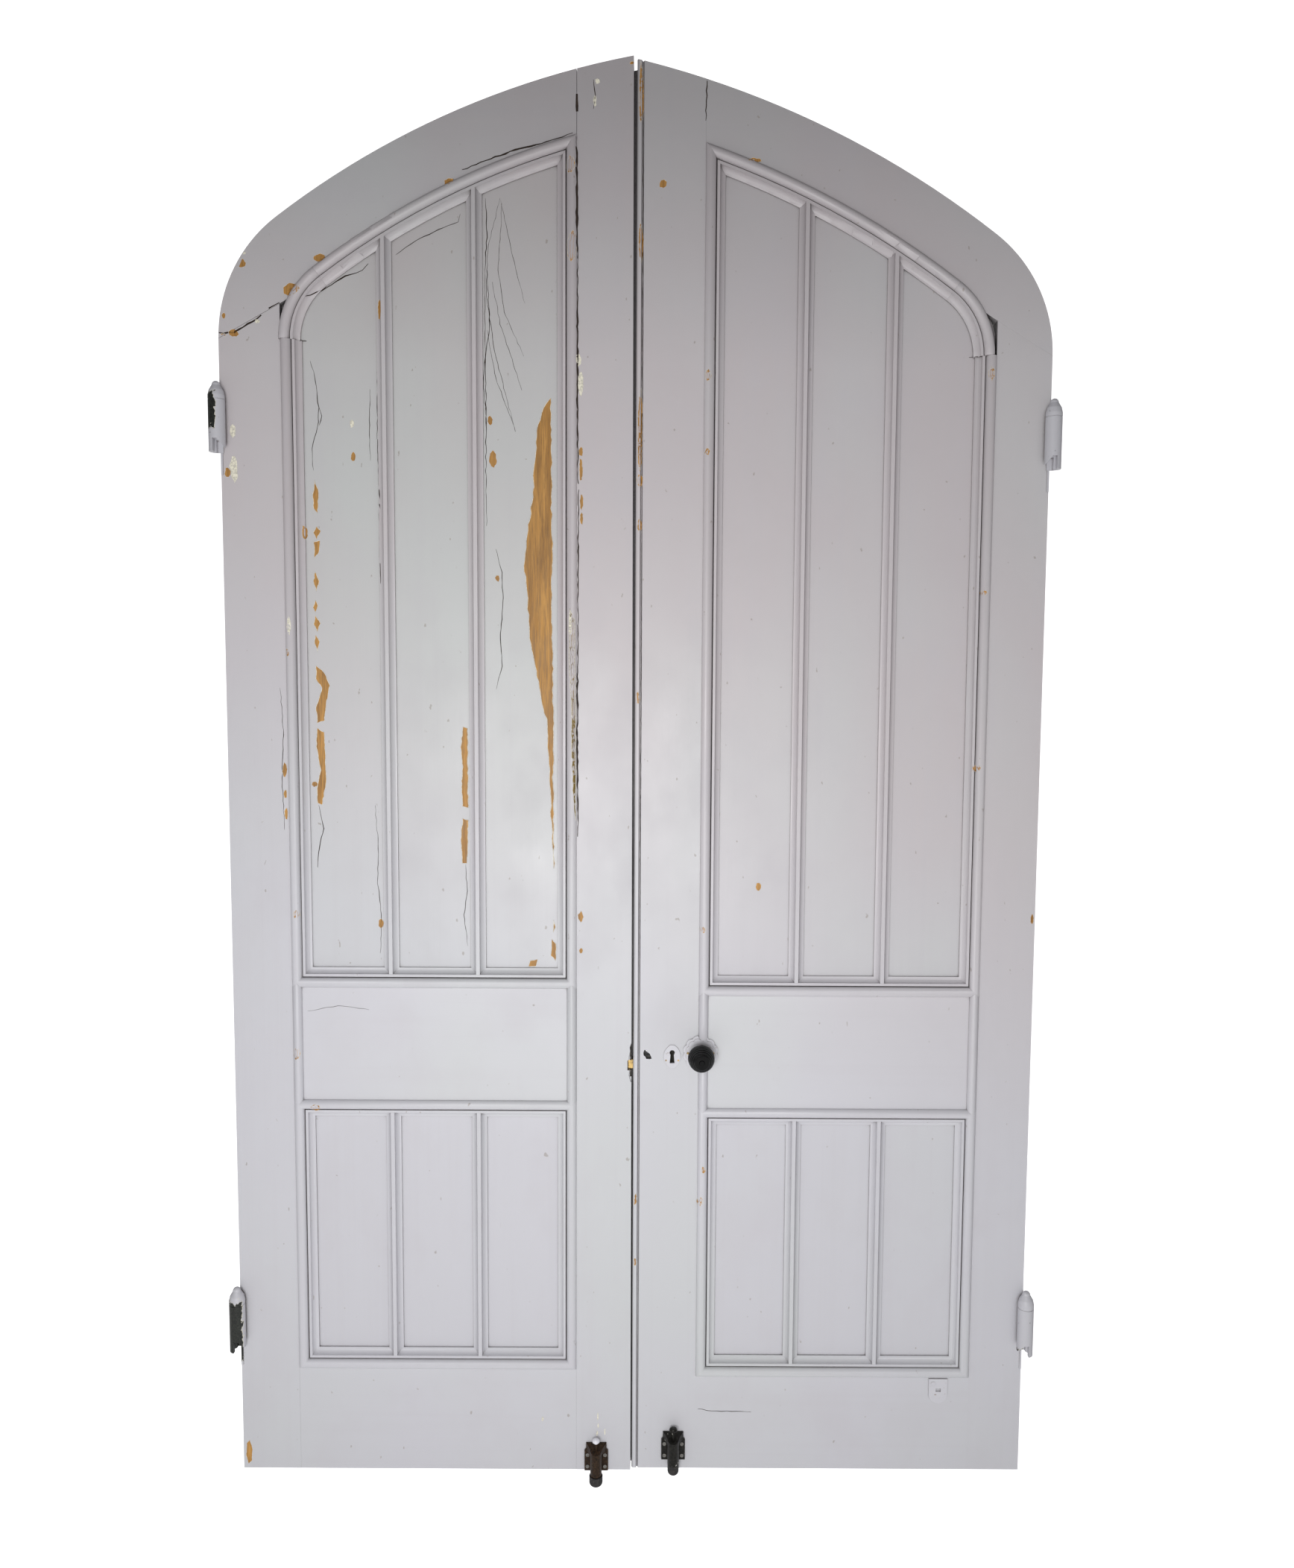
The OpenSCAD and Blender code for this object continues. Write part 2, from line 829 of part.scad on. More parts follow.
module lower_hinge_run(side)
{
    u = hinge_stile_w[side];
    z0 = bottom_rail_h[side];
    z1 = lock_z0[side];
    m = moulding_w;
    intersection() {
        run_from_hinge_side(u, z0, z1);
        keep_area([[u, z0], [u + m, z0 + m], [u + m, z1 - m], [u, z1]]);
    }
}

module lower_meeting_run(side)
{
    u = inner_u[side];
    z0 = bottom_rail_h[side];
    z1 = lock_z0[side];
    m = moulding_w;
    intersection() {
        run_from_meeting_side(u, z0, z1);
        keep_area([[u, z0], [u, z1], [u - m, z1 - m], [u - m, z0 + m]]);
    }
}

module lower_bottom_run(side)
{
    u0 = hinge_stile_w[side];
    u1 = inner_u[side];
    z = bottom_rail_h[side];
    m = moulding_w;
    intersection() {
        run_from_below(z, u0, u1);
        keep_area([[u0, z], [u1, z], [u1 - m, z + m], [u0 + m, z + m]]);
    }
}

module lower_top_run(side)
{
    u0 = hinge_stile_w[side];
    u1 = inner_u[side];
    z = lock_z0[side];
    m = moulding_w;
    intersection() {
        run_from_above(z, u0, u1);
        keep_area([[u0, z], [u0 + m, z - m], [u1 - m, z - m], [u1, z]]);
    }
}

// Half-round beads at the ends of the lock rail, scribed over the beads above and below
module lock_bead(side, u)
{
    z0 = lock_z0[side];
    z1 = lock_z1[side];
    r = bead_w / 2;
    tip = r - 1;
    difference() {
        intersection() {
            translate([u, face + bead_sink, z0 - r]) cylinder(h = lock_rail_h + 2 * r, r = r);
            slab(face - bead_w, face)
                polygon([
                    [u - r, z0], [u - 1, z0 - tip], [u + 1, z0 - tip], [u + r, z0],
                    [u + r, z1], [u + 1, z1 + tip], [u - 1, z1 + tip], [u - r, z1]
                ]);
        }
        // Beads that run across its ends
        for (z = [z0 - r, z1 + r]) {
            translate([u - 2 * r, face + bead_sink, z])
                rotate([0, 90, 0]) cylinder(h = 4 * r, r = r + 0.1);
        }
    }
}

module lock_beads(side)
{
    lock_bead(side, hinge_stile_w[side] + bead_w / 2);
    lock_bead(side, inner_u[side] - bead_w / 2);
}

// ---- Hinges ----

function hinge_tips(side) =
    [side == LEFT ? left_upper_hinge_z : right_upper_hinge_z, lower_hinge_z];
knuckle_y = face - knuckle_r;
hinge_screw_y = 2;
hinge_screw_r = 2.4;
hinge_screw_head_r = 4.6;
hinge_screw_l = 24;

module hinge_recess(tip_z)
{
    play = 0.1;
    translate([-1, face - 1, tip_z - hinge_plate_drop - hinge_plate_h - play])
        cube([1 + hinge_plate_t + play, hinge_plate_w + 1 + play, hinge_plate_h + 2 * play]);
}

module countersunk_screw(head_r, shank_r, l, play = 0)
{
    head_h = head_r - shank_r;
    translate([0, 0, -play]) cylinder(h = l + play, r = shank_r + play);
    cylinder(h = head_h, r1 = head_r + play, r2 = shank_r + play);
}

// Three screws through the plate on the hinge edge, pointing into the leaf
module hinge_screw_set(tip_z, play = 0)
{
    mid = tip_z - hinge_plate_drop - hinge_plate_h / 2;
    for (i = [-1, 0, 1]) {
        translate([0, hinge_screw_y, mid + i * hinge_screw_gap])
            rotate([0, 90, 0])
                countersunk_screw(hinge_screw_head_r, hinge_screw_r, hinge_screw_l, play);
    }
}

module knuckle_profile()
{
    tip = knuckle_h;
    shoulder = knuckle_h - finial_h;
    difference() {
        union() {
            square([knuckle_r, shoulder]);
            polygon([
                [0, shoulder - 1], [knuckle_r, shoulder - 1], [knuckle_r, shoulder],
                [knuckle_r * 0.86, shoulder + finial_h * 0.35],
                [finial_tip_r, tip - finial_tip_r], [0, tip - finial_tip_r]
            ]);
            intersection() {
                translate([0, tip - finial_tip_r]) circle(r = finial_tip_r);
                square([finial_tip_r, tip]);
            }
        }
        // Bore for the frame half's pin, with the drill's point at its blind end
        translate([-1, -1]) square([pin_bore_r + 1, knuckle_h - bore_top + 1]);
        translate([0, knuckle_h - bore_top])
            polygon([[-1, -1], [pin_bore_r, -1], [pin_bore_r, 0], [0, 0.6 * pin_bore_r], [-1, 0.6 * pin_bore_r]]);
        // Ring groove under the finial
        translate([knuckle_r, knuckle_h - bore_top]) circle(r = 0.8, $fn = 24);
    }
}

// Door half of a lift-off hinge: a knuckle with a finial and a forked, sloping lower end
module hinge_half(tip_z)
{
    base_z = tip_z - knuckle_h;
    difference() {
        union() {
            translate([-hinge_offset, knuckle_y, base_z])
                rotate_extrude() knuckle_profile();
            translate([0, face - 1.4, tip_z - hinge_plate_drop - hinge_plate_h])
                cube([hinge_plate_t, hinge_plate_w + 1.4, hinge_plate_h]);
        }
        // Slot and sloping edge of the forked end
        slab(face - 2 * knuckle_r - 1, face - 1.5)
            polygon([
                [-hinge_offset - fork_slot / 2, base_z - 1],
                [-hinge_offset - fork_slot / 2, base_z + fork_h],
                [-hinge_offset + fork_slot / 2, base_z + fork_h],
                [knuckle_r, base_z + fork_h * 0.25],
                [knuckle_r, base_z - 1]
            ]);
        hinge_screw_set(tip_z, 0.05);
    }
}

// ---- Lock ----

module keyhole_area(play = 0)
{
    translate([keyhole_x, spindle_z]) circle(r = key_r + play, $fn = 48);
    polygon([
        [keyhole_x - 2.6 - play, spindle_z],
        [keyhole_x + 2.6 + play, spindle_z],
        [keyhole_x + key_r - 0.3 + play, spindle_z - key_drop - play],
        [keyhole_x - key_r + 0.3 - play, spindle_z - key_drop - play]
    ]);
}

// Ragged hole where a snib has been cut out, through the leaf and the case
module snib_hole_area()
{
    translate([snib_x, snib_z])
        polygon([
            [-7, 4], [-5, 8.5], [-1, 7.5], [0.5, 4.5], [4, 2], [6.5, -2.5], [8, -7.5],
            [4.5, -8.5], [-1.5, -8], [-3.5, -4], [-6.5, -1.5]
        ]);
}

module lock_case()
{
    z0 = spindle_z - case_h / 2;
    y0 = lock_y - case_t / 2;
    w = case_wall;
    difference() {
        translate([case_x0, y0, z0]) cube([case_l, case_t, case_h]);
        translate([case_x0 + w, y0 + w, z0 + w])
            cube([case_l - 2 * w, case_t - 2 * w, case_h - 2 * w]);
        // Ways for the two bolts in the forward end
        for (z = [latch_z, dead_z]) {
            translate([case_x0 - 1, lock_y - bolt_t / 2 - running_play,
                       z - bolt_h / 2 - running_play])
                cube([w + 2, bolt_t + 2 * running_play, bolt_h + 2 * running_play]);
        }
        // Spindle hub's bearings in both cheeks
        translate([spindle_x, 0, spindle_z])
            rotate([90, 0, 0])
                cylinder(h = leaf_t, r = boss_r + running_play, center = true);
        slab(face, back) keyhole_area(0.2);
        slab(face, back) snib_hole_area();
    }
}

module lock_mortise()
{
    play = 0.3;
    z0 = spindle_z - case_h / 2 - play;
    translate([lip_edge - 1, lock_y - case_t / 2 - play, z0])
        cube([case_x0 + case_l + play - lip_edge + 1, case_t + 2 * play, case_h + 2 * play]);
    // Shallow recess of the forend
    translate([lip_edge - 1, lock_y - forend_w / 2 - play, spindle_z - forend_h / 2 - play])
        cube([1 + case_x0 - lip_edge, forend_w + 2 * play, forend_h + 2 * play]);
}

forend_w = 20;

module lock_forend()
{
    difference() {
        translate([lip_edge, lock_y - forend_w / 2, spindle_z - forend_h / 2])
            cube([case_x0 - lip_edge, forend_w, forend_h]);
        for (z = [latch_z, dead_z]) {
            translate([lip_edge - 1, lock_y - bolt_t / 2 - running_play,
                       z - bolt_h / 2 - running_play])
                cube([case_x0 - lip_edge + 2, bolt_t + 2 * running_play,
                      bolt_h + 2 * running_play]);
        }
        forend_screws(0.05);
    }
}

module forend_screws(play = 0)
{
    for (s = [-1, 1]) {
        translate([lip_edge, lock_y, spindle_z + s * (forend_h / 2 - 8)])
            rotate([0, 90, 0]) countersunk_screw(4, 2, 26, play);
    }
}

// Latch: a head with a bevelled nose and a long tail with a lug that the follower's arm draws back
module latch_bolt()
{
    tip = lip_edge - latch_reach;
    y0 = lock_y - bolt_t / 2;
    lug_x = arm_x + arm_w + 0.4;
    difference() {
        union() {
            translate([tip, y0, latch_z - bolt_h / 2])
                cube([latch_reach + bolt_head_l - lip_edge, bolt_t, bolt_h]);
            translate([bolt_head_l - 2, lock_y - tail_y, latch_z - 4])
                cube([lug_x + 3 - bolt_head_l + 2, 3, 8]);
            // Lug behind the follower's arm
            translate([lug_x, lock_y - tail_y, latch_z - 4]) cube([3, 2 * tail_y, 8]);
        }
        // Bevel that meets the striking plate
        translate([tip, back, latch_z - bolt_h])
            mirror([0, 1, 0])
                linear_extrude(2 * bolt_h)
                    polygon([
                        [-1, back - y0 - bolt_t - 1], [latch_reach - 1, back - y0 - bolt_t - 1],
                        [latch_reach - 1, back - y0 - bolt_t],
                        [0, back - y0 - 2], [-1, back - y0 - 2]
                    ]);
    }
}

// Dead bolt: a square head, withdrawn flush with the forend, and a flat tail over the key
module dead_bolt()
{
    translate([lip_edge + 0.3, lock_y - bolt_t / 2, dead_z - bolt_h / 2])
        cube([bolt_head_l - lip_edge - 0.3, bolt_t, bolt_h]);
    difference() {
        translate([bolt_head_l - 1, lock_y - 2, dead_z - 5])
            cube([keyhole_x + 12 - bolt_head_l, 4, 10]);
        // Talon that the key turns in
        translate([keyhole_x - 6, lock_y - 3, dead_z - 6]) cube([10, 6, 6]);
    }
}

// Follower: a hub on the square spindle with one arm that draws the latch tail back
module lock_follower()
{
    cheek = case_t / 2 - case_wall;
    difference() {
        union() {
            translate([spindle_x, lock_y + cheek - 0.3, spindle_z])
                rotate([90, 0, 0]) cylinder(h = 2 * cheek - 0.6, r = hub_r);
            translate([spindle_x, lock_y + case_t / 2 - 0.1, spindle_z])
                rotate([90, 0, 0]) cylinder(h = case_t - 0.2, r = boss_r);
            translate([arm_x, lock_y - tail_y + 3.4, latch_z - 3])
                cube([arm_w, 2 * tail_y - 3.4, bolt_spread]);
        }
        translate([spindle_x - spindle_w / 2, lock_y - case_t, spindle_z - spindle_w / 2])
            cube([spindle_w, 2 * case_t, spindle_w]);
    }
}

// Flat spring, riveted to the case and resting over the follower
module latch_spring()
{
    top = spindle_z + case_h / 2 - case_wall;
    low = spindle_z + hub_r + 0.3;
    translate([spindle_x - 22, lock_y - 3, low]) {
        cube([1.2, 6, top - low]);
        cube([30, 6, 1.2]);
    }
}

// Square spindle with both ends in the knobs' necks
module knob_spindle()
{
    reach = back + neck_l + 14;
    translate([spindle_x - spindle_w / 2, -reach, spindle_z - spindle_w / 2])
        cube([spindle_w, 2 * reach, spindle_w]);
}

// ---- Knobs, roses and escutcheons ----

neck_l = 17;
neck_r = 8;
collar_r = 12.5;
rose_boss_r = 15;
rose_boss_h = 6;

// Draws furniture from the leaf's front face outwards along +Z, on the spindle's axis
module at_front(x, z)
{
    translate([x, face, z]) rotate([90, 0, 0]) children();
}

module at_rear(x, z)
{
    translate([x, back, z]) rotate([-90, 0, 0]) mirror([0, 1, 0]) children();
}

// Beehive knob: rounded rings of falling radius, ending in a small front boss
module beehive_knob()
{
    base = neck_l;
    body_h = knob_reach - base;
    r = knob_d / 2;
    rings = 7;
    step = body_h * 0.62 / rings;
    belly = base + body_h * 0.34;
    difference() {
        rotate_extrude($fn = 96) {
            polygon([
                [0, base], [collar_r - 1, base], [r * 0.82, base + body_h * 0.1],
                [r * 0.97, base + body_h * 0.22], [r, belly], [0, belly]
            ]);
            for (i = [0 : rings - 1]) {
                ring_r = r * sqrt(1 - pow((i + 0.5) / (rings + 0.9), 2));
                translate([0, belly + i * step - EPS]) square([ring_r - 1, step + 2 * EPS]);
                translate([ring_r - step * 0.62, belly + (i + 0.5) * step])
                    intersection() {
                        circle(r = step * 0.62, $fn = 32);
                        translate([0, -step / 2]) square([step, step]);
                    }
            }
            translate([0, knob_reach - body_h * 0.06])
                intersection() {
                    circle(r = 5.2, $fn = 48);
                    translate([0, -3]) square([5.2, 3 + body_h * 0.06]);
                }
        }
        translate([0, 0, base + 7]) cube([spindle_w, spindle_w, 14.02], center = true);
    }
}

// Brass neck and collar between rose and knob, keyed on the spindle
module knob_neck()
{
    difference() {
        rotate_extrude($fn = 72)
            polygon([
                [0, 0.5], [neck_r - running_play, 0.5], [neck_r - running_play, rose_boss_h + 1],
                [neck_r + 1, rose_boss_h + 2], [collar_r, neck_l - 5],
                [collar_r, neck_l - 2], [collar_r - 1.5, neck_l], [0, neck_l]
            ]);
        translate([0, 0, neck_l / 2]) cube([spindle_w, spindle_w, neck_l + 2], center = true);
    }
}

module scalloped_disc(r, n, h)
{
    lobe = r * sin(180 / n) * 1.08;
    linear_extrude(h) {
        circle(r = r - lobe, $fn = 96);
        for (i = [0 : n - 1]) {
            rotate(i * 360 / n + 15) translate([r - lobe, 0]) circle(r = lobe, $fn = 40);
        }
    }
}

// Rose: a scalloped rim, a smaller scalloped disc on it and a turned boss round the neck
module rose()
{
    difference() {
        union() {
            scalloped_disc(rose_d / 2, rose_scallops, rose_t);
            scalloped_disc(rose_d * 0.42, rose_scallops, rose_t + 1.2);
            cylinder(h = rose_boss_h, r1 = rose_boss_r, r2 = neck_r + 3);
        }
        translate([0, 0, -1]) cylinder(h = rose_boss_h + 3, r = neck_r);
        rose_pins(0.05);
    }
}

module rose_pins(play = 0)
{
    for (s = [-1, 1]) {
        translate([s * 22.5, 0, rose_t + 1.2])
            rotate([180, 0, 0]) countersunk_screw(2.2, 1.2, 8.5, play);
    }
}

module escutcheon_pins(play = 0)
{
    for (s = [-1, 1]) {
        translate([s * (escutcheon_w / 2 - 4), -7, escutcheon_t])
            rotate([180, 0, 0]) countersunk_screw(1.5, 0.8, 7, play);
    }
}

// Oval escutcheon with a squared top, about a point below the keyhole's round part
esc_drop = 7;
module escutcheon_plate()
{
    squash = escutcheon_w / escutcheon_h;
    side_r = (escutcheon_h * escutcheon_h / 4 + escutcheon_w * escutcheon_w / 4)
        / escutcheon_w;
    intersection() {
        linear_extrude(escutcheon_t)
            intersection() {
                translate([side_r - escutcheon_w / 2, 0]) circle(r = side_r, $fn = 128);
                translate([escutcheon_w / 2 - side_r, 0]) circle(r = side_r, $fn = 128);
                circle(r = escutcheon_h / 2 * (0.86 + squash * 0.14), $fn = 96);
            }
        translate([-escutcheon_w, -escutcheon_h, 0])
            cube([2 * escutcheon_w, escutcheon_h * 1.46, escutcheon_t]);
    }
}

module key_cut()
{
    linear_extrude(escutcheon_t * 4, center = true)
        translate([-keyhole_x, -spindle_z + esc_drop]) keyhole_area();
}

module escutcheon()
{
    difference() {
        escutcheon_plate();
        key_cut();
        escutcheon_pins(0.05);
    }
}

// ---- Striking plate on the left leaf ----

strike_t = 2.5;
strike_mid_z = spindle_z;
function left_edge_x(z) =
    lip_edge - gap_bottom - (gap_top - gap_bottom) * z / crown_z(LEFT, 0, half_w);
strike_x = left_edge_x(strike_mid_z + strike_h / 2) - 0.1;
pocket_play = 1.2;

module strike_pockets()
{
    // Dead bolt's pocket
    translate([lip_edge - dead_stroke - pocket_play, lock_y - bolt_t / 2 - 0.8,
               dead_z - bolt_h / 2 - 1])
        cube([dead_stroke + pocket_play + 1, bolt_t + 1.6, bolt_h + 2]);
    // Latch's pocket, broken open to the front
    translate([lip_edge - latch_reach - pocket_play, face - 1, latch_z - bolt_h / 2 - 1])
        cube([latch_reach + pocket_play + 1, lock_y + bolt_t / 2 + 0.8 - face + 1, bolt_h + 2]);
}

module strike_plate()
{
    difference() {
        translate([strike_x - strike_t, lock_y - forend_w / 2, strike_mid_z - strike_h / 2])
            cube([strike_t, forend_w, strike_h]);
        strike_pockets();
        strike_screw_set(0.05);
    }
}

module strike_screw_set(play = 0)
{
    for (s = [-1, 1]) {
        translate([strike_x, lock_y, strike_mid_z + s * (strike_h / 2 - 6)])
            rotate([0, -90, 0]) countersunk_screw(3.6, 1.8, 22, play);
    }
}

// Wood broken out of the left leaf's front arris in front of the striking plate
module broken_edge_area()
{
    e = left_edge_x(spindle_z);
    z = spindle_z;
    polygon([
        [e + 9, z + 17], [e - 0.5, z + 16], [e - 3, z + 9], [e - 2.2, z + 2], [e - 4.5, z - 6],
        [e - 5.5, z - 17], [e - 3.5, z - 31], [e - 4.5, z - 42], [e - 1.5, z - 54],
        [e + 9, z - 55]
    ]);
}

// ---- Foot bolts ----

module at_foot_bolt(side)
{
    x = side == LEFT ? -left_bolt_x : right_bolt_x;
    z = side == LEFT ? 0 : right_bolt_z;
    translate([x, face, floor_gap + z]) children();
}

roof_w = 37;
plate_t = 3;
roof_h = 15;
stem_r = 2.5;

// Cast case: back plate with ears, a barrel and a sloping roof from the plate to the barrel
module foot_bolt_case()
{
    roof_z = bolt_plate_h - roof_h;
    difference() {
        union() {
            translate([-bolt_plate_w / 2, -plate_t, 0]) bolt_back_plate();
            translate([0, -rod_forward, 0]) cylinder(h = bolt_plate_h - 4, r = barrel_r);
            translate([-barrel_r + 1, -rod_forward, 0])
                cube([2 * barrel_r - 2, rod_forward - 1, bolt_plate_h - 4]);
            translate([0, 0, roof_z])
                linear_extrude(roof_h)
                    polygon([
                        [-roof_w / 2, -1], [roof_w / 2, -1], [roof_w / 2 - 1, -4],
                        [barrel_r, -rod_forward], [-barrel_r, -rod_forward],
                        [-roof_w / 2 + 1, -4]
                    ]);
        }
        // Slope of the roof, down from the plate to the front of the barrel
        translate([-bolt_plate_w, -plate_t, bolt_plate_h])
            rotate([25, 0, 0])
                translate([0, -60, 0]) cube([2 * bolt_plate_w, 60, 40]);
        translate([0, -rod_forward, -1]) cylinder(h = bolt_plate_h - 15, r = rod_r);
        translate([0, -rod_forward, -1]) cylinder(h = bolt_plate_h + 5, r = stem_r);
        foot_bolt_screw_set(0.05);
    }
}

module bolt_back_plate()
{
    cut = 3;
    translate([0, plate_t, 0])
        rotate([90, 0, 0])
            linear_extrude(plate_t)
                polygon([
                    [0, 0], [bolt_plate_w, 0], [bolt_plate_w, bolt_plate_h - 14],
                    [bolt_plate_w - cut, bolt_plate_h - 11], [bolt_plate_w - cut, bolt_plate_h],
                    [cut, bolt_plate_h], [cut, bolt_plate_h - 11], [0, bolt_plate_h - 14]
                ]);
}

module foot_bolt_screw_set(play = 0)
{
    for (s = [-1, 1]) {
        for (z = [8, 30]) {
            translate([s * (bolt_plate_w / 2 - 5.5), -plate_t - 0.8, z])
                rotate([-90, 0, 0]) countersunk_screw(3.4, 1.6, 18, play);
        }
    }
}

module foot_bolt_rod()
{
    rod_h = 26;
    translate([0, -rod_forward, 0]) {
        translate([0, 0, -shoe_h + 7]) cylinder(h = rod_h + shoe_h - 7, r = rod_r - running_play);
        cylinder(h = head_z, r = stem_r - running_play);
    }
}

// The head comes down on the case's roof at the end of the stroke
head_z = bolt_plate_h + foot_stroke - 0.5;

// Step head: a low dome on the stem
module foot_bolt_head(r)
{
    translate([0, -rod_forward, head_z - 3])
        difference() {
            rotate_extrude($fn = 64)
                polygon([
                    [0, 0], [r * 0.55, 0], [r * 0.75, 1.5], [r, 3], [r, 5.5],
                    [r * 0.75, 8], [r * 0.4, 9], [0, 9.2]
                ]);
            translate([0, 0, -1]) cylinder(h = 4, r = stem_r - running_play);
        }
}

module foot_bolt_shoe(r)
{
    round_r = 8;
    translate([0, -rod_forward, -shoe_h])
        difference() {
            rotate_extrude($fn = 72)
                union() {
                    translate([0, round_r]) square([r, shoe_h - round_r - 0.6]);
                    square([r - round_r, round_r + 1]);
                    intersection() {
                        translate([r - round_r, round_r]) circle(r = round_r, $fn = 64);
                        square([r, round_r]);
                    }
                }
            translate([0, 0, 7]) cylinder(h = shoe_h, r = rod_r - running_play);
        }
}

// ---- Painted-over plate on the right leaf's bottom rail ----

plate_x = 559.5;
plate_top_z = 178;
cover_w = 34;
cover_h = 46;
cover_t = 2.2;

module cover_area()
{
    translate([plate_x - cover_w / 2, plate_top_z - cover_h + cover_w / 2])
        square([cover_w, cover_h - cover_w / 2]);
    translate([plate_x, plate_top_z - cover_h + cover_w / 2]) circle(r = cover_w / 2);
}

module cover_screw(play = 0)
{
    translate([plate_x - 9, face - cover_t - 0.6, plate_top_z - 9])
        rotate([-90, 0, 0]) countersunk_screw(4, 1.8, 18, play);
}

module painted_plate()
{
    difference() {
        slab(face - cover_t, face)
            difference() {
                cover_area();
                translate([plate_x + 0.5, plate_top_z - cover_h / 2 + 2])
                    square([9, 6.5], center = true);
            }
        cover_screw(0.05);
    }
}

// ---- Leaves with their cuts ----

paint = "lightgray";
bare = "tan";

module left_meeting_stile()
{
    difference() {
        on_leaf(LEFT) meeting_stile(LEFT);
        from_meeting_line() {
            strike_pockets();
            translate([strike_x - strike_t - 0.1, lock_y - forend_w / 2 - 0.1,
                       strike_mid_z - strike_h / 2 - 0.1])
                cube([strike_t + 6, forend_w + 0.2, strike_h + 0.2]);
            slab(face - 1, lock_y - forend_w / 2 + 0.1) broken_edge_area();
            strike_screw_set(0.05);
        }
        at_foot_bolt(LEFT) foot_bolt_screw_set(0.05);
    }
}

module right_meeting_stile()
{
    difference() {
        on_leaf(RIGHT) meeting_stile(RIGHT);
        from_meeting_line() {
            lock_mortise();
            slab(face - 1, back + 1) keyhole_area(0.5);
            slab(face - 1, back + 1) snib_hole_area();
            translate([spindle_x, 0, spindle_z])
                rotate([90, 0, 0]) cylinder(h = leaf_t + 2, r = neck_r + 1, center = true);
            forend_screws(0.05);
            furniture_pin_set(0.05);
        }
        at_foot_bolt(RIGHT) foot_bolt_screw_set(0.05);
    }
}

module right_lock_rail()
{
    difference() {
        on_leaf(RIGHT) lock_rail(RIGHT);
        from_meeting_line() {
            lock_mortise();
            translate([spindle_x, 0, spindle_z])
                rotate([90, 0, 0]) cylinder(h = leaf_t + 2, r = neck_r + 1, center = true);
            furniture_pin_set(0.05);
        }
    }
}

// The bead beside the knob stops in a round nose over the rose, and starts again under it
module right_lock_beads()
{
    bead_x = right_meeting_stile_w + bead_w / 2;
    nose_z = spindle_z + 24;
    difference() {
        on_leaf(RIGHT) lock_beads(RIGHT);
        from_meeting_line()
            slab(face - bead_w, face + 1)
                difference() {
                    translate([bead_x - bead_w, spindle_z - rose_d / 2 - 1])
                        square([2 * bead_w, rose_d / 2 + 1 + nose_z + bead_w / 2 - spindle_z]);
                    translate([bead_x, nose_z + bead_w / 2]) circle(r = bead_w / 2);
                }
    }
}

module furniture_pin_set(play = 0)
{
    at_front(spindle_x, spindle_z) rose_pins(play);
    at_rear(spindle_x, spindle_z) rose_pins(play);
    at_front(keyhole_x, spindle_z - esc_drop) escutcheon_pins(play);
    at_rear(keyhole_x, spindle_z - esc_drop) escutcheon_pins(play);
}

// The rose is notched round the bead's nose above it
module front_rose()
{
    bead_x = right_meeting_stile_w + bead_w / 2;
    nose_z = spindle_z + 24;
    difference() {
        at_front(spindle_x, spindle_z) rose();
        slab(face - 10, face + 1) {
            translate([bead_x, nose_z + bead_w / 2]) circle(r = bead_w / 2 + 0.3);
            translate([bead_x - bead_w / 2 - 0.3, nose_z + bead_w / 2])
                square([bead_w + 0.6, 30]);
        }
    }
}

module right_bottom_rail()
{
    difference() {
        on_leaf(RIGHT) bottom_rail(RIGHT);
        from_meeting_line() cover_screw(0.05);
    }
}

// ---- Nodes ----

color(paint) on_leaf(LEFT) hinge_stile(LEFT);  // left_hinge_stile
color(paint) left_meeting_stile();
color(paint) on_leaf(LEFT) arched_head(LEFT);  // left_arched_head
color(paint) on_leaf(LEFT) lock_rail(LEFT);  // left_lock_rail
color(paint) on_leaf(LEFT) bottom_rail(LEFT);  // left_bottom_rail
color(paint) on_leaf(LEFT) upper_muntins(LEFT);  // left_upper_muntins
color(paint) on_leaf(LEFT) lower_muntins(LEFT);  // left_lower_muntins
color(paint) on_leaf(LEFT) upper_panels(LEFT);  // left_upper_panels
color(paint) on_leaf(LEFT) lower_panels(LEFT);  // left_lower_panels
color(paint) on_leaf(LEFT) {  // left_upper_moulding
    upper_hinge_run(LEFT);
    upper_meeting_run(LEFT);
    upper_bottom_run(LEFT);
    haunch_run(LEFT);
    crown_run(LEFT);
}
color(paint) on_leaf(LEFT) lock_beads(LEFT);  // left_lock_beads
color(paint) on_leaf(LEFT) {  // left_lower_moulding
    lower_hinge_run(LEFT);
    lower_meeting_run(LEFT);
    lower_bottom_run(LEFT);
    lower_top_run(LEFT);
}
color("dimgray") on_leaf(LEFT)  // left_upper_hinge
    hinge_half(left_upper_hinge_z);
color("dimgray") on_leaf(LEFT)  // left_lower_hinge
    hinge_half(lower_hinge_z);
color("dimgray") on_leaf(LEFT)  // left_hinge_screws
    for (z = hinge_tips(LEFT)) hinge_screw_set(z);
color(paint) on_leaf(RIGHT) hinge_stile(RIGHT);  // right_hinge_stile
color(paint) right_meeting_stile();
color(paint) on_leaf(RIGHT) arched_head(RIGHT);  // right_arched_head
color(paint) right_lock_rail();
color(paint) right_bottom_rail();
color(paint) on_leaf(RIGHT) upper_muntins(RIGHT);  // right_upper_muntins
color(paint) on_leaf(RIGHT) lower_muntins(RIGHT);  // right_lower_muntins
color(paint) on_leaf(RIGHT) upper_panels(RIGHT);  // right_upper_panels
color(paint) on_leaf(RIGHT) lower_panels(RIGHT);  // right_lower_panels
color(paint) on_leaf(RIGHT) {  // right_upper_moulding
    upper_hinge_run(RIGHT);
    upper_meeting_run(RIGHT);
    upper_bottom_run(RIGHT);
    haunch_run(RIGHT);
    crown_run(RIGHT);
}
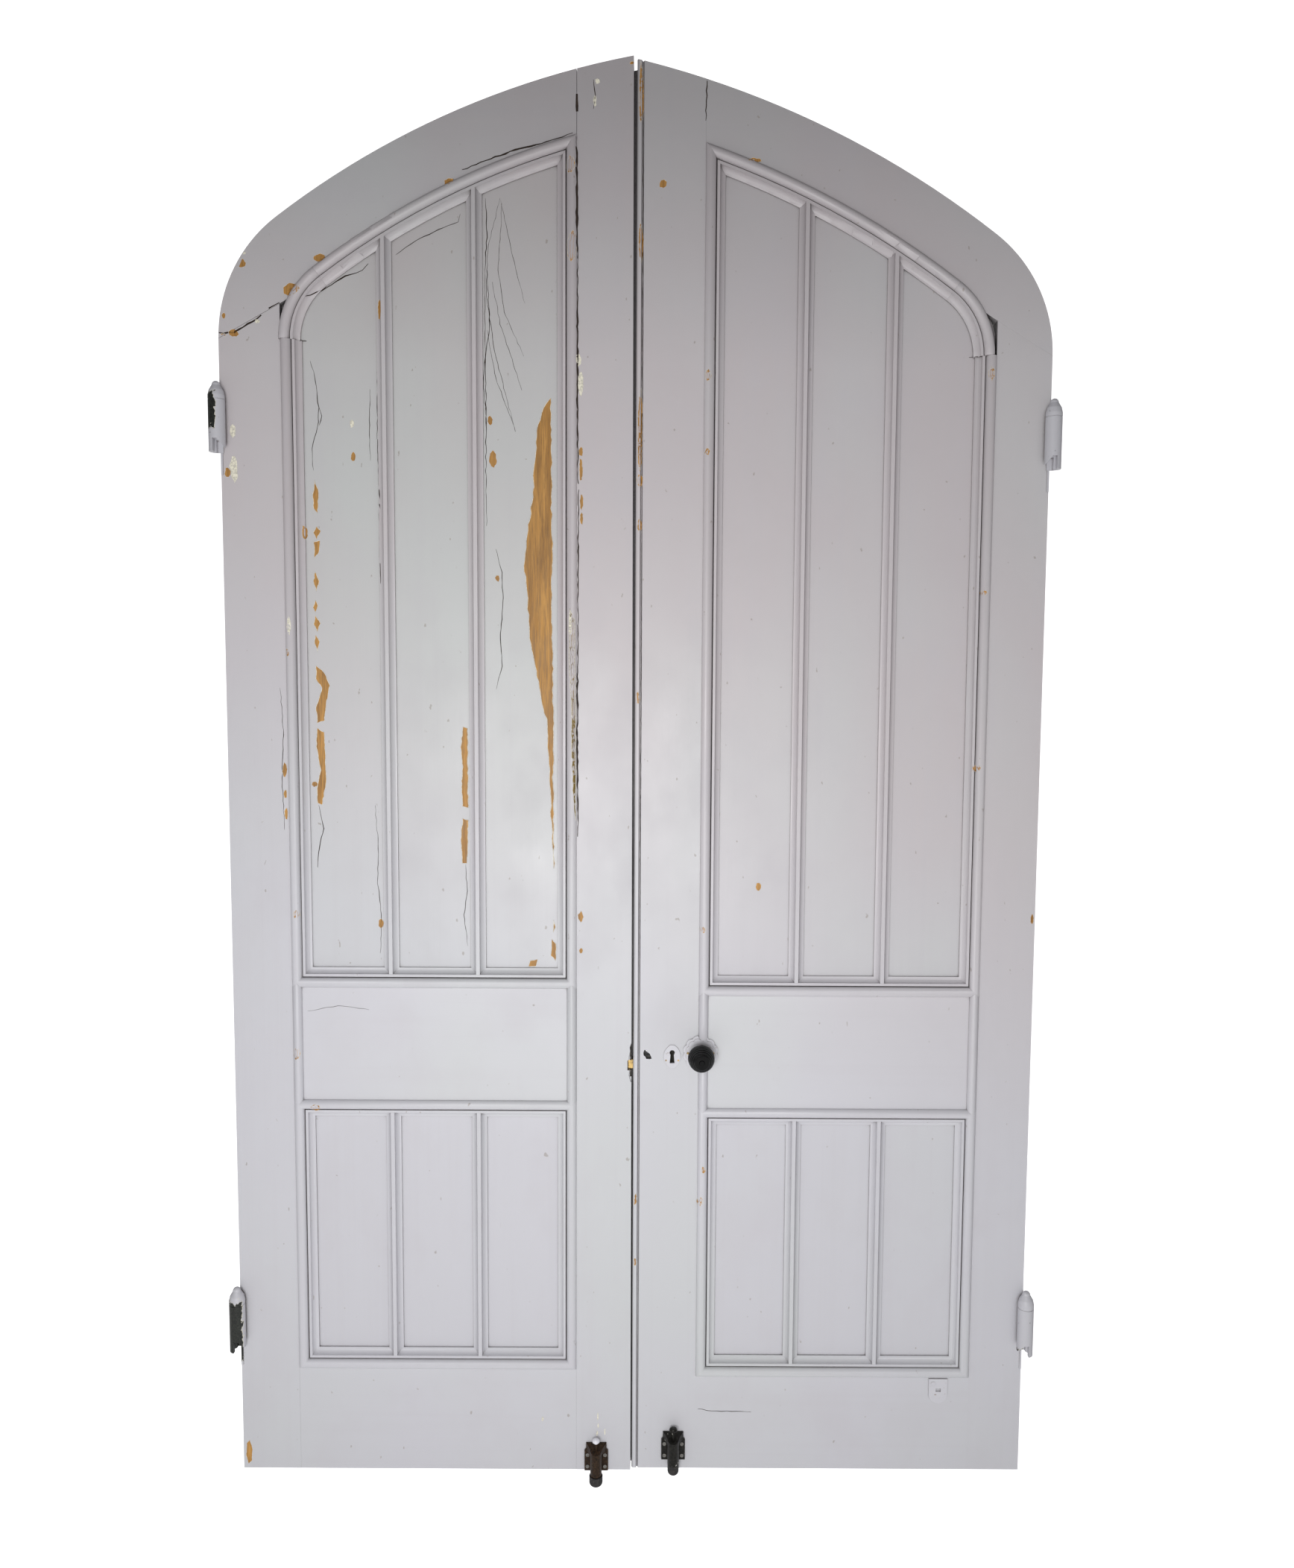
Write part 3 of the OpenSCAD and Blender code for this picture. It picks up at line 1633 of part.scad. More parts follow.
color(paint) right_lock_beads();
color(paint) on_leaf(RIGHT) {  // right_lower_moulding
    lower_hinge_run(RIGHT);
    lower_meeting_run(RIGHT);
    lower_bottom_run(RIGHT);
    lower_top_run(RIGHT);
}
color("gray") on_leaf(RIGHT)  // right_upper_hinge
    hinge_half(right_upper_hinge_z);
color("gray") on_leaf(RIGHT)  // right_lower_hinge
    hinge_half(lower_hinge_z);
color("dimgray") on_leaf(RIGHT)  // right_hinge_screws
    for (z = hinge_tips(RIGHT)) hinge_screw_set(z);
color("slategray") from_meeting_line() lock_case();
color("darkgoldenrod") from_meeting_line() lock_forend();
color("darkgoldenrod") from_meeting_line() latch_bolt();
color("goldenrod") from_meeting_line() dead_bolt();
color("gray") from_meeting_line() lock_follower();
color("silver") from_meeting_line() latch_spring();
color("goldenrod") from_meeting_line() forend_screws();  // lock_screws
color("gray") from_meeting_line() knob_spindle();
color("black") from_meeting_line()  // front_knob
    at_front(spindle_x, spindle_z) beehive_knob();
color("black") from_meeting_line()  // rear_knob
    at_rear(spindle_x, spindle_z) beehive_knob();
color("goldenrod") from_meeting_line() {  // knob_necks
    at_front(spindle_x, spindle_z) knob_neck();
    at_rear(spindle_x, spindle_z) knob_neck();
}
color(paint) from_meeting_line() front_rose();
color(paint) from_meeting_line()  // rear_rose
    at_rear(spindle_x, spindle_z) rose();
color(paint) from_meeting_line()  // front_escutcheon
    at_front(keyhole_x, spindle_z - esc_drop) escutcheon();
color(paint) from_meeting_line()  // rear_escutcheon
    at_rear(keyhole_x, spindle_z - esc_drop) escutcheon();
color("goldenrod") from_meeting_line()  // furniture_pins
    furniture_pin_set();
color("gray") from_meeting_line() strike_plate();
color("gray") from_meeting_line() strike_screw_set();  // strike_screws
color("sienna") at_foot_bolt(LEFT) foot_bolt_case();  // left_foot_bolt_case
color("sienna") at_foot_bolt(LEFT) foot_bolt_rod();  // left_foot_bolt_rod
color("white") at_foot_bolt(LEFT)  // left_foot_bolt_head
    foot_bolt_head(6.6);
color("black") at_foot_bolt(LEFT)  // left_foot_bolt_shoe
    foot_bolt_shoe(12.2);
color("gray") at_foot_bolt(LEFT)  // left_foot_bolt_screws
    foot_bolt_screw_set();
color("dimgray") at_foot_bolt(RIGHT) foot_bolt_case();  // right_foot_bolt_case
color("dimgray") at_foot_bolt(RIGHT) foot_bolt_rod();  // right_foot_bolt_rod
color("dimgray") at_foot_bolt(RIGHT)  // right_foot_bolt_head
    foot_bolt_head(7.4);
color("black") at_foot_bolt(RIGHT)  // right_foot_bolt_shoe
    foot_bolt_shoe(10.2);
color("gray") at_foot_bolt(RIGHT)  // right_foot_bolt_screws
    foot_bolt_screw_set();
color(paint) from_meeting_line() painted_plate();
color(paint) from_meeting_line() cover_screw();  // painted_plate_screw
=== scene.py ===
"""Looks of a worn pair of arched panelled door leaves, with a studio and a camera."""

import json
import math
import random

import bmesh
import bpy
from mathutils import Matrix, Vector
from mathutils.bvhtree import BVHTree


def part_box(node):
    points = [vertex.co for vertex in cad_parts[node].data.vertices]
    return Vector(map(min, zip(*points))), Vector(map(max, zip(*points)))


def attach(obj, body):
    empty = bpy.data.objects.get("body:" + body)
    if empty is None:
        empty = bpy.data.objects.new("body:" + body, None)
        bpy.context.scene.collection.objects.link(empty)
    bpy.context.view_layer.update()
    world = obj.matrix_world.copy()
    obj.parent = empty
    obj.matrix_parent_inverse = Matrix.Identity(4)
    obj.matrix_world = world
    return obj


bl_info = {
    "name": "Arched Door Leaves",
    "version": (1, 0, 0),
    "blender": (4, 5, 0),
    "location": "View3D > Sidebar > Door",
    "description": "Paint, wear, hardware finishes and a studio for a pair of arched door leaves",
    "category": "Object",
}

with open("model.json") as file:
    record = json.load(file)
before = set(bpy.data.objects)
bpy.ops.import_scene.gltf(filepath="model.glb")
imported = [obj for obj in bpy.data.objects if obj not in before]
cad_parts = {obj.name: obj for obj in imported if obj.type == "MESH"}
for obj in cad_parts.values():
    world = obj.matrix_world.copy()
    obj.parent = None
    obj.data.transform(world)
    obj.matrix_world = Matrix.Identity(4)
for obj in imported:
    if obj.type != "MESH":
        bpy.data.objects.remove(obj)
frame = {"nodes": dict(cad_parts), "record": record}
MM = 0.001
# The leaves' bottom edges stand this far above the row's origin
FOOT = 20
# The leaves' front face
FACE = -22.5
# The keyhole's distance from the meeting line
KEYHOLE_X = 70.5
# Focal length on a sensor 36 mm wide
SENSOR = 36
LENS = 27.3764


class DoorProps(bpy.types.PropertyGroup):
    """Colours and amounts that a user would change."""

    paint: bpy.props.FloatVectorProperty(
        name="Paint", description="Colour of the grey paint", subtype="COLOR",
        default=(0.572, 0.566, 0.602), min=0, max=1)
    paint_warm: bpy.props.FloatVectorProperty(
        name="Warm paint", description="Colour of the aged paint towards the crown", subtype="COLOR",
        default=(0.556, 0.516, 0.530), min=0, max=1)
    undercoat: bpy.props.FloatVectorProperty(
        name="Undercoat", description="Cream coat seen at the rims of chips", subtype="COLOR",
        default=(0.86, 0.82, 0.68), min=0, max=1)
    wood: bpy.props.FloatVectorProperty(
        name="Bare wood", description="Varnished wood under the paint", subtype="COLOR",
        default=(0.36, 0.175, 0.040), min=0, max=1)
    gloss: bpy.props.FloatProperty(
        name="Roughness", description="Roughness of the paint", default=0.42, min=0.1, max=1)
    brush: bpy.props.FloatProperty(
        name="Brush marks", description="Depth of the brush marks", default=0.35, min=0, max=2)
    seed: bpy.props.IntProperty(
        name="Seed", description="Start of the chips' ragged outlines", default=7, min=0)
    key_power: bpy.props.FloatProperty(
        name="Key light", description="Power of the soft light near the left leaf", unit="POWER",
        default=38, min=0)
    sky: bpy.props.FloatProperty(
        name="Room light", description="Strength of the even light", default=0.2, min=0)


def props():
    return bpy.context.scene.door_leaves


# ---- Shader helper ----


class Net:
    """Adds and links the nodes of one material."""

    def __init__(self, name):
        self.mat = bpy.data.materials.new(name)
        self.mat.use_nodes = True
        self.tree = self.mat.node_tree
        self.tree.nodes.clear()
        self.out = self.tree.nodes.new("ShaderNodeOutputMaterial")
        self.coords = self.tree.nodes.new("ShaderNodeTexCoord").outputs["Object"]

    def put(self, socket, value):
        if isinstance(value, bpy.types.NodeSocket):
            self.tree.links.new(value, socket)
        elif hasattr(socket.default_value, "__len__") and not hasattr(value, "__len__"):
            socket.default_value = (value,) * len(socket.default_value)
        elif hasattr(value, "__len__") and len(value) == 3 and len(socket.default_value) == 4:
            socket.default_value = (*value, 1)
        else:
            socket.default_value = value

    def math(self, op, a, b=0.0, clamp=False):
        n = self.tree.nodes.new("ShaderNodeMath")
        n.operation, n.use_clamp = op, clamp
        self.put(n.inputs[0], a)
        self.put(n.inputs[1], b)
        return n.outputs[0]

    def stretch(self, scale, shift=(0, 0, 0)):
        n = self.tree.nodes.new("ShaderNodeMapping")
        self.put(n.inputs["Vector"], self.coords)
        n.inputs["Scale"].default_value = scale
        n.inputs["Location"].default_value = shift
        return n.outputs[0]

    def noise(self, vector, scale=1.0, detail=3.0, rough=0.5, warp=0.0):
        n = self.tree.nodes.new("ShaderNodeTexNoise")
        self.put(n.inputs["Vector"], vector)
        n.inputs["Scale"].default_value = scale
        n.inputs["Detail"].default_value = detail
        n.inputs["Roughness"].default_value = rough
        n.inputs["Distortion"].default_value = warp
        return n.outputs["Fac"]

    def step(self, value, low, high, to_low=0.0, to_high=1.0):
        n = self.tree.nodes.new("ShaderNodeMapRange")
        self.put(n.inputs["Value"], value)
        n.inputs["From Min"].default_value = low
        n.inputs["From Max"].default_value = high
        n.inputs["To Min"].default_value = to_low
        n.inputs["To Max"].default_value = to_high
        return n.outputs[0]

    def mix(self, fac, a, b, blend="MIX"):
        n = self.tree.nodes.new("ShaderNodeMix")
        n.data_type, n.blend_type = "RGBA", blend
        self.put(n.inputs[0], fac)
        self.put(n.inputs[6], a)
        self.put(n.inputs[7], b)
        return n.outputs[2]

    def axis(self, name):
        n = self.tree.nodes.new("ShaderNodeSeparateXYZ")
        self.put(n.inputs[0], self.coords)
        return n.outputs[name]

    def near(self, distance):
        n = self.tree.nodes.new("ShaderNodeAmbientOcclusion")
        n.samples = 3
        n.inputs["Distance"].default_value = distance
        return n.outputs["AO"]

    def bump(self, height, strength, distance):
        n = self.tree.nodes.new("ShaderNodeBump")
        self.put(n.inputs["Height"], height)
        n.inputs["Strength"].default_value = strength
        n.inputs["Distance"].default_value = distance
        return n.outputs[0]

    def shade(self, color, rough, metal=0.0, normal=None, coat=0.0, spec=0.5):
        n = self.tree.nodes.new("ShaderNodeBsdfPrincipled")
        self.put(n.inputs["Base Color"], color)
        self.put(n.inputs["Roughness"], rough)
        self.put(n.inputs["Metallic"], metal)
        n.inputs["Coat Weight"].default_value = coat
        n.inputs["Specular IOR Level"].default_value = spec
        if normal is not None:
            self.put(n.inputs["Normal"], normal)
        self.put(self.out.inputs["Surface"], n.outputs[0])
        return self.mat


# ---- Finishes ----


def grey_paint(name, grain, tone=(1, 1, 1), shift=0.0):
    """Old brushed paint. grain is the brushing's axis, X or Z."""
    p, n = props(), Net(name)
    z = n.axis("Z")
    along = (260, 260, 5) if grain == "Z" else (5, 260, 260)
    brush = n.noise(n.stretch(along, (shift, 0, shift)), 1, 3, 0.6, 0.2)
    streak = n.noise(n.stretch(tuple(0.22 * a for a in along), (0, shift, 0)), 1, 2, 0.5, 0.6)
    drift = n.noise(n.stretch((1.6, 1.6, 0.9), (shift, 1, 0)), 1, 3, 0.55)
    cloud = n.noise(n.stretch((7, 7, 5), (shift, 0, 3)), 1, 4, 0.6)
    aged = n.step(n.math("ADD", z, n.math("MULTIPLY", n.axis("X"), 0.4)), 0.85, 1.5)
    color = n.mix(aged, p.paint, p.paint_warm)
    green = tuple(c * f for c, f in zip(p.paint, (0.985, 1.02, 0.965)))
    color = n.mix(n.math("MULTIPLY", n.step(drift, 0.45, 0.7), 0.8), color, green)
    dull = tuple(c * f for c, f in zip(p.paint, (0.93, 0.905, 0.90)))
    color = n.mix(n.math("MULTIPLY", n.step(cloud, 0.5, 0.78), 0.45), color, dull)
    color = n.mix(n.math("MULTIPLY", n.step(streak, 0.5, 0.8), 0.22), color, dull)
    color = n.mix(1.0, color, tone, "MULTIPLY")
    # Dirt and painted shade: a dark brown laid where the surface is hemmed in within 8 mm, in quirks,
    # creases and panel edges, patchy with the cloud noise
    crevice_dirt_and_shade = n.math("MULTIPLY", n.step(n.near(0.008), 0.66, 0.28), n.step(cloud, 0.2, 0.6, 0.55, 1.0))
    color = n.mix(crevice_dirt_and_shade, color, (0.085, 0.062, 0.055))
    # Painted shade: near black laid deep in recesses, where much lies within 30 mm
    color = n.mix(n.step(n.near(0.03), 0.36, 0.12), color, (0.012, 0.009, 0.008))
    # Painted shade: the colour darkens towards the top of the arch, standing in for the light falling off
    # there
    crown = n.step(z, 2.0, 2.45, 1.0, 0.74)
    color = n.mix(1.0, color, crown, "MULTIPLY")
    specks = n.noise(n.stretch((95, 95, 60), (shift, 2, 0)), 1, 2, 0.5)
    color = n.mix(n.math("MULTIPLY", n.step(specks, 0.735, 0.76), 0.5), color, (0.25, 0.20, 0.16))
    rough = n.step(cloud, 0.3, 0.8, p.gloss - 0.06, p.gloss + 0.16)
    lumps = n.noise(n.stretch((38, 38, 22), (0, shift, 1)), 1, 3, 0.5)
    height = n.math("ADD", n.math("MULTIPLY", brush, 0.35), n.math("MULTIPLY", lumps, 0.8))
    return n.shade(color, rough, normal=n.bump(height, p.brush, 0.0007))


def bare_wood():
    p, n = props(), Net("bare_wood")
    fine = n.noise(n.stretch((520, 520, 26)), 1, 4, 0.65, 0.3)
    band = n.noise(n.stretch((70, 70, 7)), 1, 3, 0.5, 1.1)
    color = n.mix(n.step(band, 0.35, 0.7), p.wood, tuple(c * f for c, f in zip(p.wood, (1.65, 1.75, 1.9))))
    color = n.mix(n.step(fine, 0.36, 0.56, 0.45, 1.0), tuple(c * 0.4 for c in p.wood), color)
    rough = n.step(fine, 0.3, 0.7, 0.45, 0.7)
    return n.shade(color, rough, normal=n.bump(fine, 0.25, 0.0003))


def undercoat():
    p, n = props(), Net("undercoat")
    patch = n.noise(n.stretch((300, 300, 300)), 1, 3, 0.6)
    color = n.mix(n.step(patch, 0.4, 0.65), p.undercoat, tuple(c * 0.62 for c in p.undercoat))
    return n.shade(color, 0.55, normal=n.bump(patch, 0.4, 0.0004))


def dark_gap():
    n = Net("open_crack")
    patch = n.noise(n.stretch((400, 400, 90)), 1, 2, 0.5)
    color = n.mix(patch, (0.012, 0.010, 0.009), (0.06, 0.04, 0.03))
    return n.shade(color, 0.8, spec=0.2)


def chipped_iron(name, edge, low, high):
    """Grey paint, gone from black iron where X is under edge and Z between low and high (m)."""
    p, n = props(), Net(name)
    flake = n.math("SUBTRACT", n.noise(n.stretch((110, 110, 80)), 1, 5, 0.65, 0.5), 0.5)
    across = n.math("ADD", n.axis("X"), n.math("MULTIPLY", flake, 0.016))
    up = n.math("ADD", n.axis("Z"), n.math("MULTIPLY", flake, 0.05))

    def gone(grow):
        side = n.step(across, edge + grow + 0.0002, edge + grow - 0.0002)
        span = n.math("MULTIPLY", n.step(up, low - grow, low - grow + 0.0004),
                      n.step(up, high + grow + 0.0004, high + grow))
        return n.math("MULTIPLY", side, span)

    bare = gone(0.0)
    pit = n.noise(n.stretch((420, 420, 420)), 1, 3, 0.6)
    iron = n.mix(n.step(pit, 0.4, 0.68), (0.004, 0.005, 0.004), (0.030, 0.034, 0.026))
    # Painted shade: the hinge paint darkens towards brown-black in its creases and where parts meet
    paint = n.mix(n.step(n.near(0.004), 0.6, 0.3), tuple(c * 0.93 for c in p.paint), (0.10, 0.08, 0.07))
    nick = n.noise(n.stretch((160, 160, 120), (5, 2, 1)), 1, 4, 0.6)
    paint = n.mix(n.step(nick, 0.69, 0.71), paint, (0.02, 0.02, 0.018))
    color = n.mix(gone(0.0009), paint, tuple(c * 0.8 for c in p.undercoat))
    color = n.mix(bare, color, iron)
    height = n.math("SUBTRACT", n.math("MULTIPLY", pit, 0.35), bare)
    return n.shade(color, n.step(bare, 0, 1, 0.42, 0.3), normal=n.bump(height, 0.6, 0.0006))


def metal(name, color, rough, dirt=0.5, metallic=1.0, dark=(0.02, 0.017, 0.012)):
    n = Net(name)
    patch = n.noise(n.stretch((120, 120, 120)), 1, 5, 0.6, 0.3)
    pit = n.noise(n.stretch((600, 600, 600)), 1, 3, 0.6)
    mask = n.math("MULTIPLY", n.step(patch, 0.42, 0.62), dirt)
    # Dirt and painted shade: besides the dirt patches, the metal turns dark in creases and where parts meet
    mask = n.math("MAXIMUM", mask, n.step(n.near(0.004), 0.6, 0.2))
    shade = n.mix(mask, color, dark)
    height = n.math("ADD", n.math("MULTIPLY", pit, 0.4), patch)
    spot = n.step(mask, 0, 1, rough, min(1.0, rough + 0.35))
    return n.shade(shade, spot, metal=n.step(mask, 0, 1, metallic, metallic * 0.3),
                   normal=n.bump(height, 0.35, 0.0005))


def black_polish():
    n = Net("black_polish")
    dust = n.noise(n.stretch((90, 90, 90)), 1, 4, 0.6)
    grain = n.noise(n.stretch((60, 900, 900)), 1, 2, 0.5)
    color = n.mix(n.step(dust, 0.55, 0.85), (0.0015, 0.0015, 0.0018), (0.008, 0.007, 0.007))
    rough = n.step(dust, 0.35, 0.75, 0.05, 0.13)
    return n.shade(color, rough, normal=n.bump(grain, 0.05, 0.0002), spec=0.4)


def splashed(name, base, paint_share, rough):
    """A rough dark casting with splashes of the grey and cream paint."""
    p, n = props(), Net(name)
    pit = n.noise(n.stretch((330, 330, 330)), 1, 5, 0.65)
    splash = n.noise(n.stretch((75, 75, 60), (3, 1, 2)), 1, 4, 0.6, 0.8)
    color = n.mix(n.step(pit, 0.38, 0.66), tuple(c * 0.35 for c in base), tuple(c * 1.5 for c in base))
    cream = n.mix(n.step(pit, 0.3, 0.7), p.undercoat, p.paint)
    mask = n.step(splash, 0.66 - 0.2 * paint_share, 0.68 - 0.2 * paint_share)
    color = n.mix(mask, color, cream)
    height = n.math("ADD", pit, n.math("MULTIPLY", mask, 0.5))
    return n.shade(color, rough, metal=n.step(mask, 0, 1, 0.55, 0.0), normal=n.bump(height, 0.7, 0.0008))


def rubber():
    n = Net("black_rubber")
    dust = n.noise(n.stretch((160, 160, 160)), 1, 4, 0.6)
    color = n.mix(n.step(dust, 0.5, 0.8), (0.012, 0.011, 0.011), (0.06, 0.052, 0.045))
    return n.shade(color, 0.55, normal=n.bump(dust, 0.3, 0.0004))


def painted_brass(name, tone=1.0):
    p, n = props(), Net(name)
    lumps = n.noise(n.stretch((210, 210, 210)), 1, 4, 0.6)
    worn = n.noise(n.stretch((85, 85, 85), (2, 0, 1)), 1, 4, 0.6, 0.5)
    clean = tuple(c * 1.04 * tone for c in p.paint)
    # Painted shade: the painted metal darkens in its creases and scallops
    color = n.mix(n.step(n.near(0.003), 0.75, 0.25), clean, (0.11, 0.085, 0.07))
    color = n.mix(n.step(worn, 0.66, 0.69), color, (0.20, 0.11, 0.05))
    return n.shade(color, 0.36, normal=n.bump(lumps, 0.45, 0.0007))


# ---- Surface finder and patches ----


def tree_of(names):
    """One search tree over the given CAD nodes."""
    verts, faces = [], []
    for name in names:
        mesh = frame["nodes"][name].data
        base = len(verts)
        verts += [v.co.copy() for v in mesh.vertices]
        faces += [[base + i for i in f.vertices] for f in mesh.polygons]
    return BVHTree.FromPolygons(verts, faces)


def leaf_nodes(side):
    body = frame["record"]["behaviour"]["bodies"][side + "_leaf"]
    wood = [n for n in body if n.startswith(side + "_") and "foot_bolt" not in n and "screws" not in n]
    return [n for n in wood if "hinge" not in n or "stile" in n]


class Patches:
    """Collects patches laid on one leaf's front, as one mesh."""

    def __init__(self, side):
        self.bm = bmesh.new()
        self.lift = self.bm.verts.layers.float.new("lift")
        self.tree = tree_of(leaf_nodes(side))
        self.rng = random.Random(props().seed + (side == "right"))
        self.side = side

    def ragged(self, points, step, jag):
        """The outline through points (mm), in steps, with jagged edges."""
        out = []
        for a, b in zip(points, points[1:] + points[:1]):
            a, b = Vector(a), Vector(b)
            n = max(1, int((b - a).length / step))
            across = Vector((a.y - b.y, b.x - a.x)).normalized() if n else Vector((0, 0))
            for i in range(n):
                shake = self.rng.uniform(-jag, jag) if i else self.rng.uniform(-jag, jag) * 0.5
                out.append(a.lerp(b, i / n) + across * shake)
        return out

    def chip(self, points, kind="b", step=4.0, jag=0.8, lip=0.35, rim=0.8):
        """A flaked-off area: a lifted rim of paint, a line of undercoat, and wood inside."""
        bm = self.bm
        outline = self.ragged(points, step, jag)
        area = sum(a.x * b.y - b.x * a.y for a, b in zip(outline, outline[1:] + outline[:1]))
        if area < 0:
            outline.reverse()
        face = bm.faces.new([bm.verts.new((q.x * MM, -0.1, q.y * MM)) for q in outline])
        face.normal_update()
        bmesh.ops.inset_individual(bm, faces=[face], thickness=0.35 * MM, use_even_offset=False)
        ring = {f for v in face.verts for f in v.link_faces}
        for v in face.verts:
            v[self.lift] = lip
        bmesh.ops.inset_individual(bm, faces=[face], thickness=rim * MM, use_even_offset=False)
        cream = {f for v in face.verts for f in v.link_faces} - ring
        for v in face.verts:
            v[self.lift] = 0.06
        for f in ring:
            f.material_index = 0
        for f in cream:
            f.material_index = 1
        face.material_index = 2 if kind == "b" else 1
        if kind == "o":
            face.material_index = 3
        inner = bmesh.ops.triangulate(bm, faces=[face])["faces"]
        edges = [e for e in {e for f in inner for e in f.edges}
                 if all(g in set(inner) for g in e.link_faces) and e.calc_length() > 4 * MM]
        cuts = bmesh.ops.subdivide_edges(bm, edges=edges, cuts=2, use_grid_fill=False)
        for v in cuts["geom_inner"]:
            if isinstance(v, bmesh.types.BMVert):
                v[self.lift] = 0.06

    def spot(self, x, z, w, h, kind):
        """A small chip of a random few-sided shape, w by h mm about (x, z)."""
        n = self.rng.randint(6, 9)
        turn = self.rng.uniform(0, 1)
        pts = []
        for i in range(n):
            a = (i + turn) / n * math.tau
            r = self.rng.uniform(0.8, 1.15) * 0.56
            pts.append((x + math.cos(a) * w * r, z + math.sin(a) * h * r))
        self.chip(pts, kind, step=3.0, jag=0.6, lip=0.25, rim=0.35)

    def crack(self, points, width=1.0, lift=0.06, jag=0.8, material=4):
        """A dark split along a line of points, thin at both ends."""
        bm = self.bm
        line = []
        for a, b in zip(points, points[1:]):
            a, b = Vector(a), Vector(b)
            n = max(1, int((b - a).length / 8))
            for i in range(n):
                line.append(a.lerp(b, i / n))
        line.append(Vector(points[-1]))
        last = None
        for i, q in enumerate(line):
            ahead = line[min(i + 1, len(line) - 1)] - line[max(i - 1, 0)]
            across = Vector((ahead.y, -ahead.x)).normalized()
            t = i / max(1, len(line) - 1)
            taper = 0.45 + 0.55 * math.sin(math.pi * min(1, max(0, t)))
            half = 0.75 * width * taper * self.rng.uniform(0.6, 1.3)
            q = q + across * self.rng.uniform(-jag, jag)
            ends = [q + across * s * half for s in (-1, 1)]
            if last is None:
                pair = [bm.verts.new((e.x * MM, -0.1, e.y * MM)) for e in ends]
                last = bm.edges.new(pair)
            else:
                grown = bmesh.ops.extrude_edge_only(bm, edges=[last])["geom"]
                pair = list(last.verts)
                for v in (g for g in grown if isinstance(g, bmesh.types.BMVert)):
                    near = min(range(2), key=lambda k: (v.co - pair[k].co).length)
                    v.co = (ends[near].x * MM, -0.1, ends[near].y * MM)
                    v[self.lift] = lift
                for g in grown:
                    if isinstance(g, bmesh.types.BMFace):
                        g.material_index = material
                heads = [g for g in grown if isinstance(g, bmesh.types.BMVert)]
                heads.sort(key=lambda v: (Vector((v.co.x, v.co.z)) / MM - ends[0]).length)
                last = bm.edges.get(heads)
                continue
            for v in pair:
                v[self.lift] = lift

    def build(self, name, materials):
        """Drops every vertex on the leaf's front, a little above it, and makes the object."""
        bm = self.bm
        bm.verts.ensure_lookup_table()
        lost = []
        for v in bm.verts:
            hit = self.tree.ray_cast(Vector((v.co.x, -0.15, v.co.z)), Vector((0, 1, 0)))
            if hit[0] is None or hit[0].y > 0.0:
                lost.append(v)
                continue
            v.co = hit[0] + hit[1] * (v[self.lift] * MM if hit[1].y < 0 else 0)
        bmesh.ops.delete(bm, geom=lost, context="VERTS")
        long_faces = []
        for f in bm.faces:
            depths = [v.co.y for v in f.verts]
            if max(depths) - min(depths) > 11 * MM:
                long_faces.append(f)
        bmesh.ops.delete(bm, geom=long_faces, context="FACES")
        bmesh.ops.triangulate(bm, faces=[f for f in bm.faces if len(f.verts) > 4])
        for f in bm.faces:
            f.normal_update()
            if f.normal.y > 0:
                f.normal_flip()
        mesh = bpy.data.meshes.new(name)
        bm.to_mesh(mesh)
        bm.free()
        for m in materials:
            mesh.materials.append(m)
        obj = bpy.data.objects.new(name, mesh)
        bpy.context.scene.collection.objects.link(obj)
        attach(obj, self.side + "_leaf")
        return obj


def wear_finishes():
    """The five finishes of the worn places, made once."""
    made = bpy.data.materials
    if "flake_paint" not in made:
        grey_paint("flake_paint", "Z", (1.02, 1.02, 1.02), 0.35)
        undercoat(), bare_wood(), old_varnish(), dark_gap()
    return [made[n] for n in ("flake_paint", "undercoat", "bare_wood", "old_varnish", "open_crack")]


# ---- Operators ----


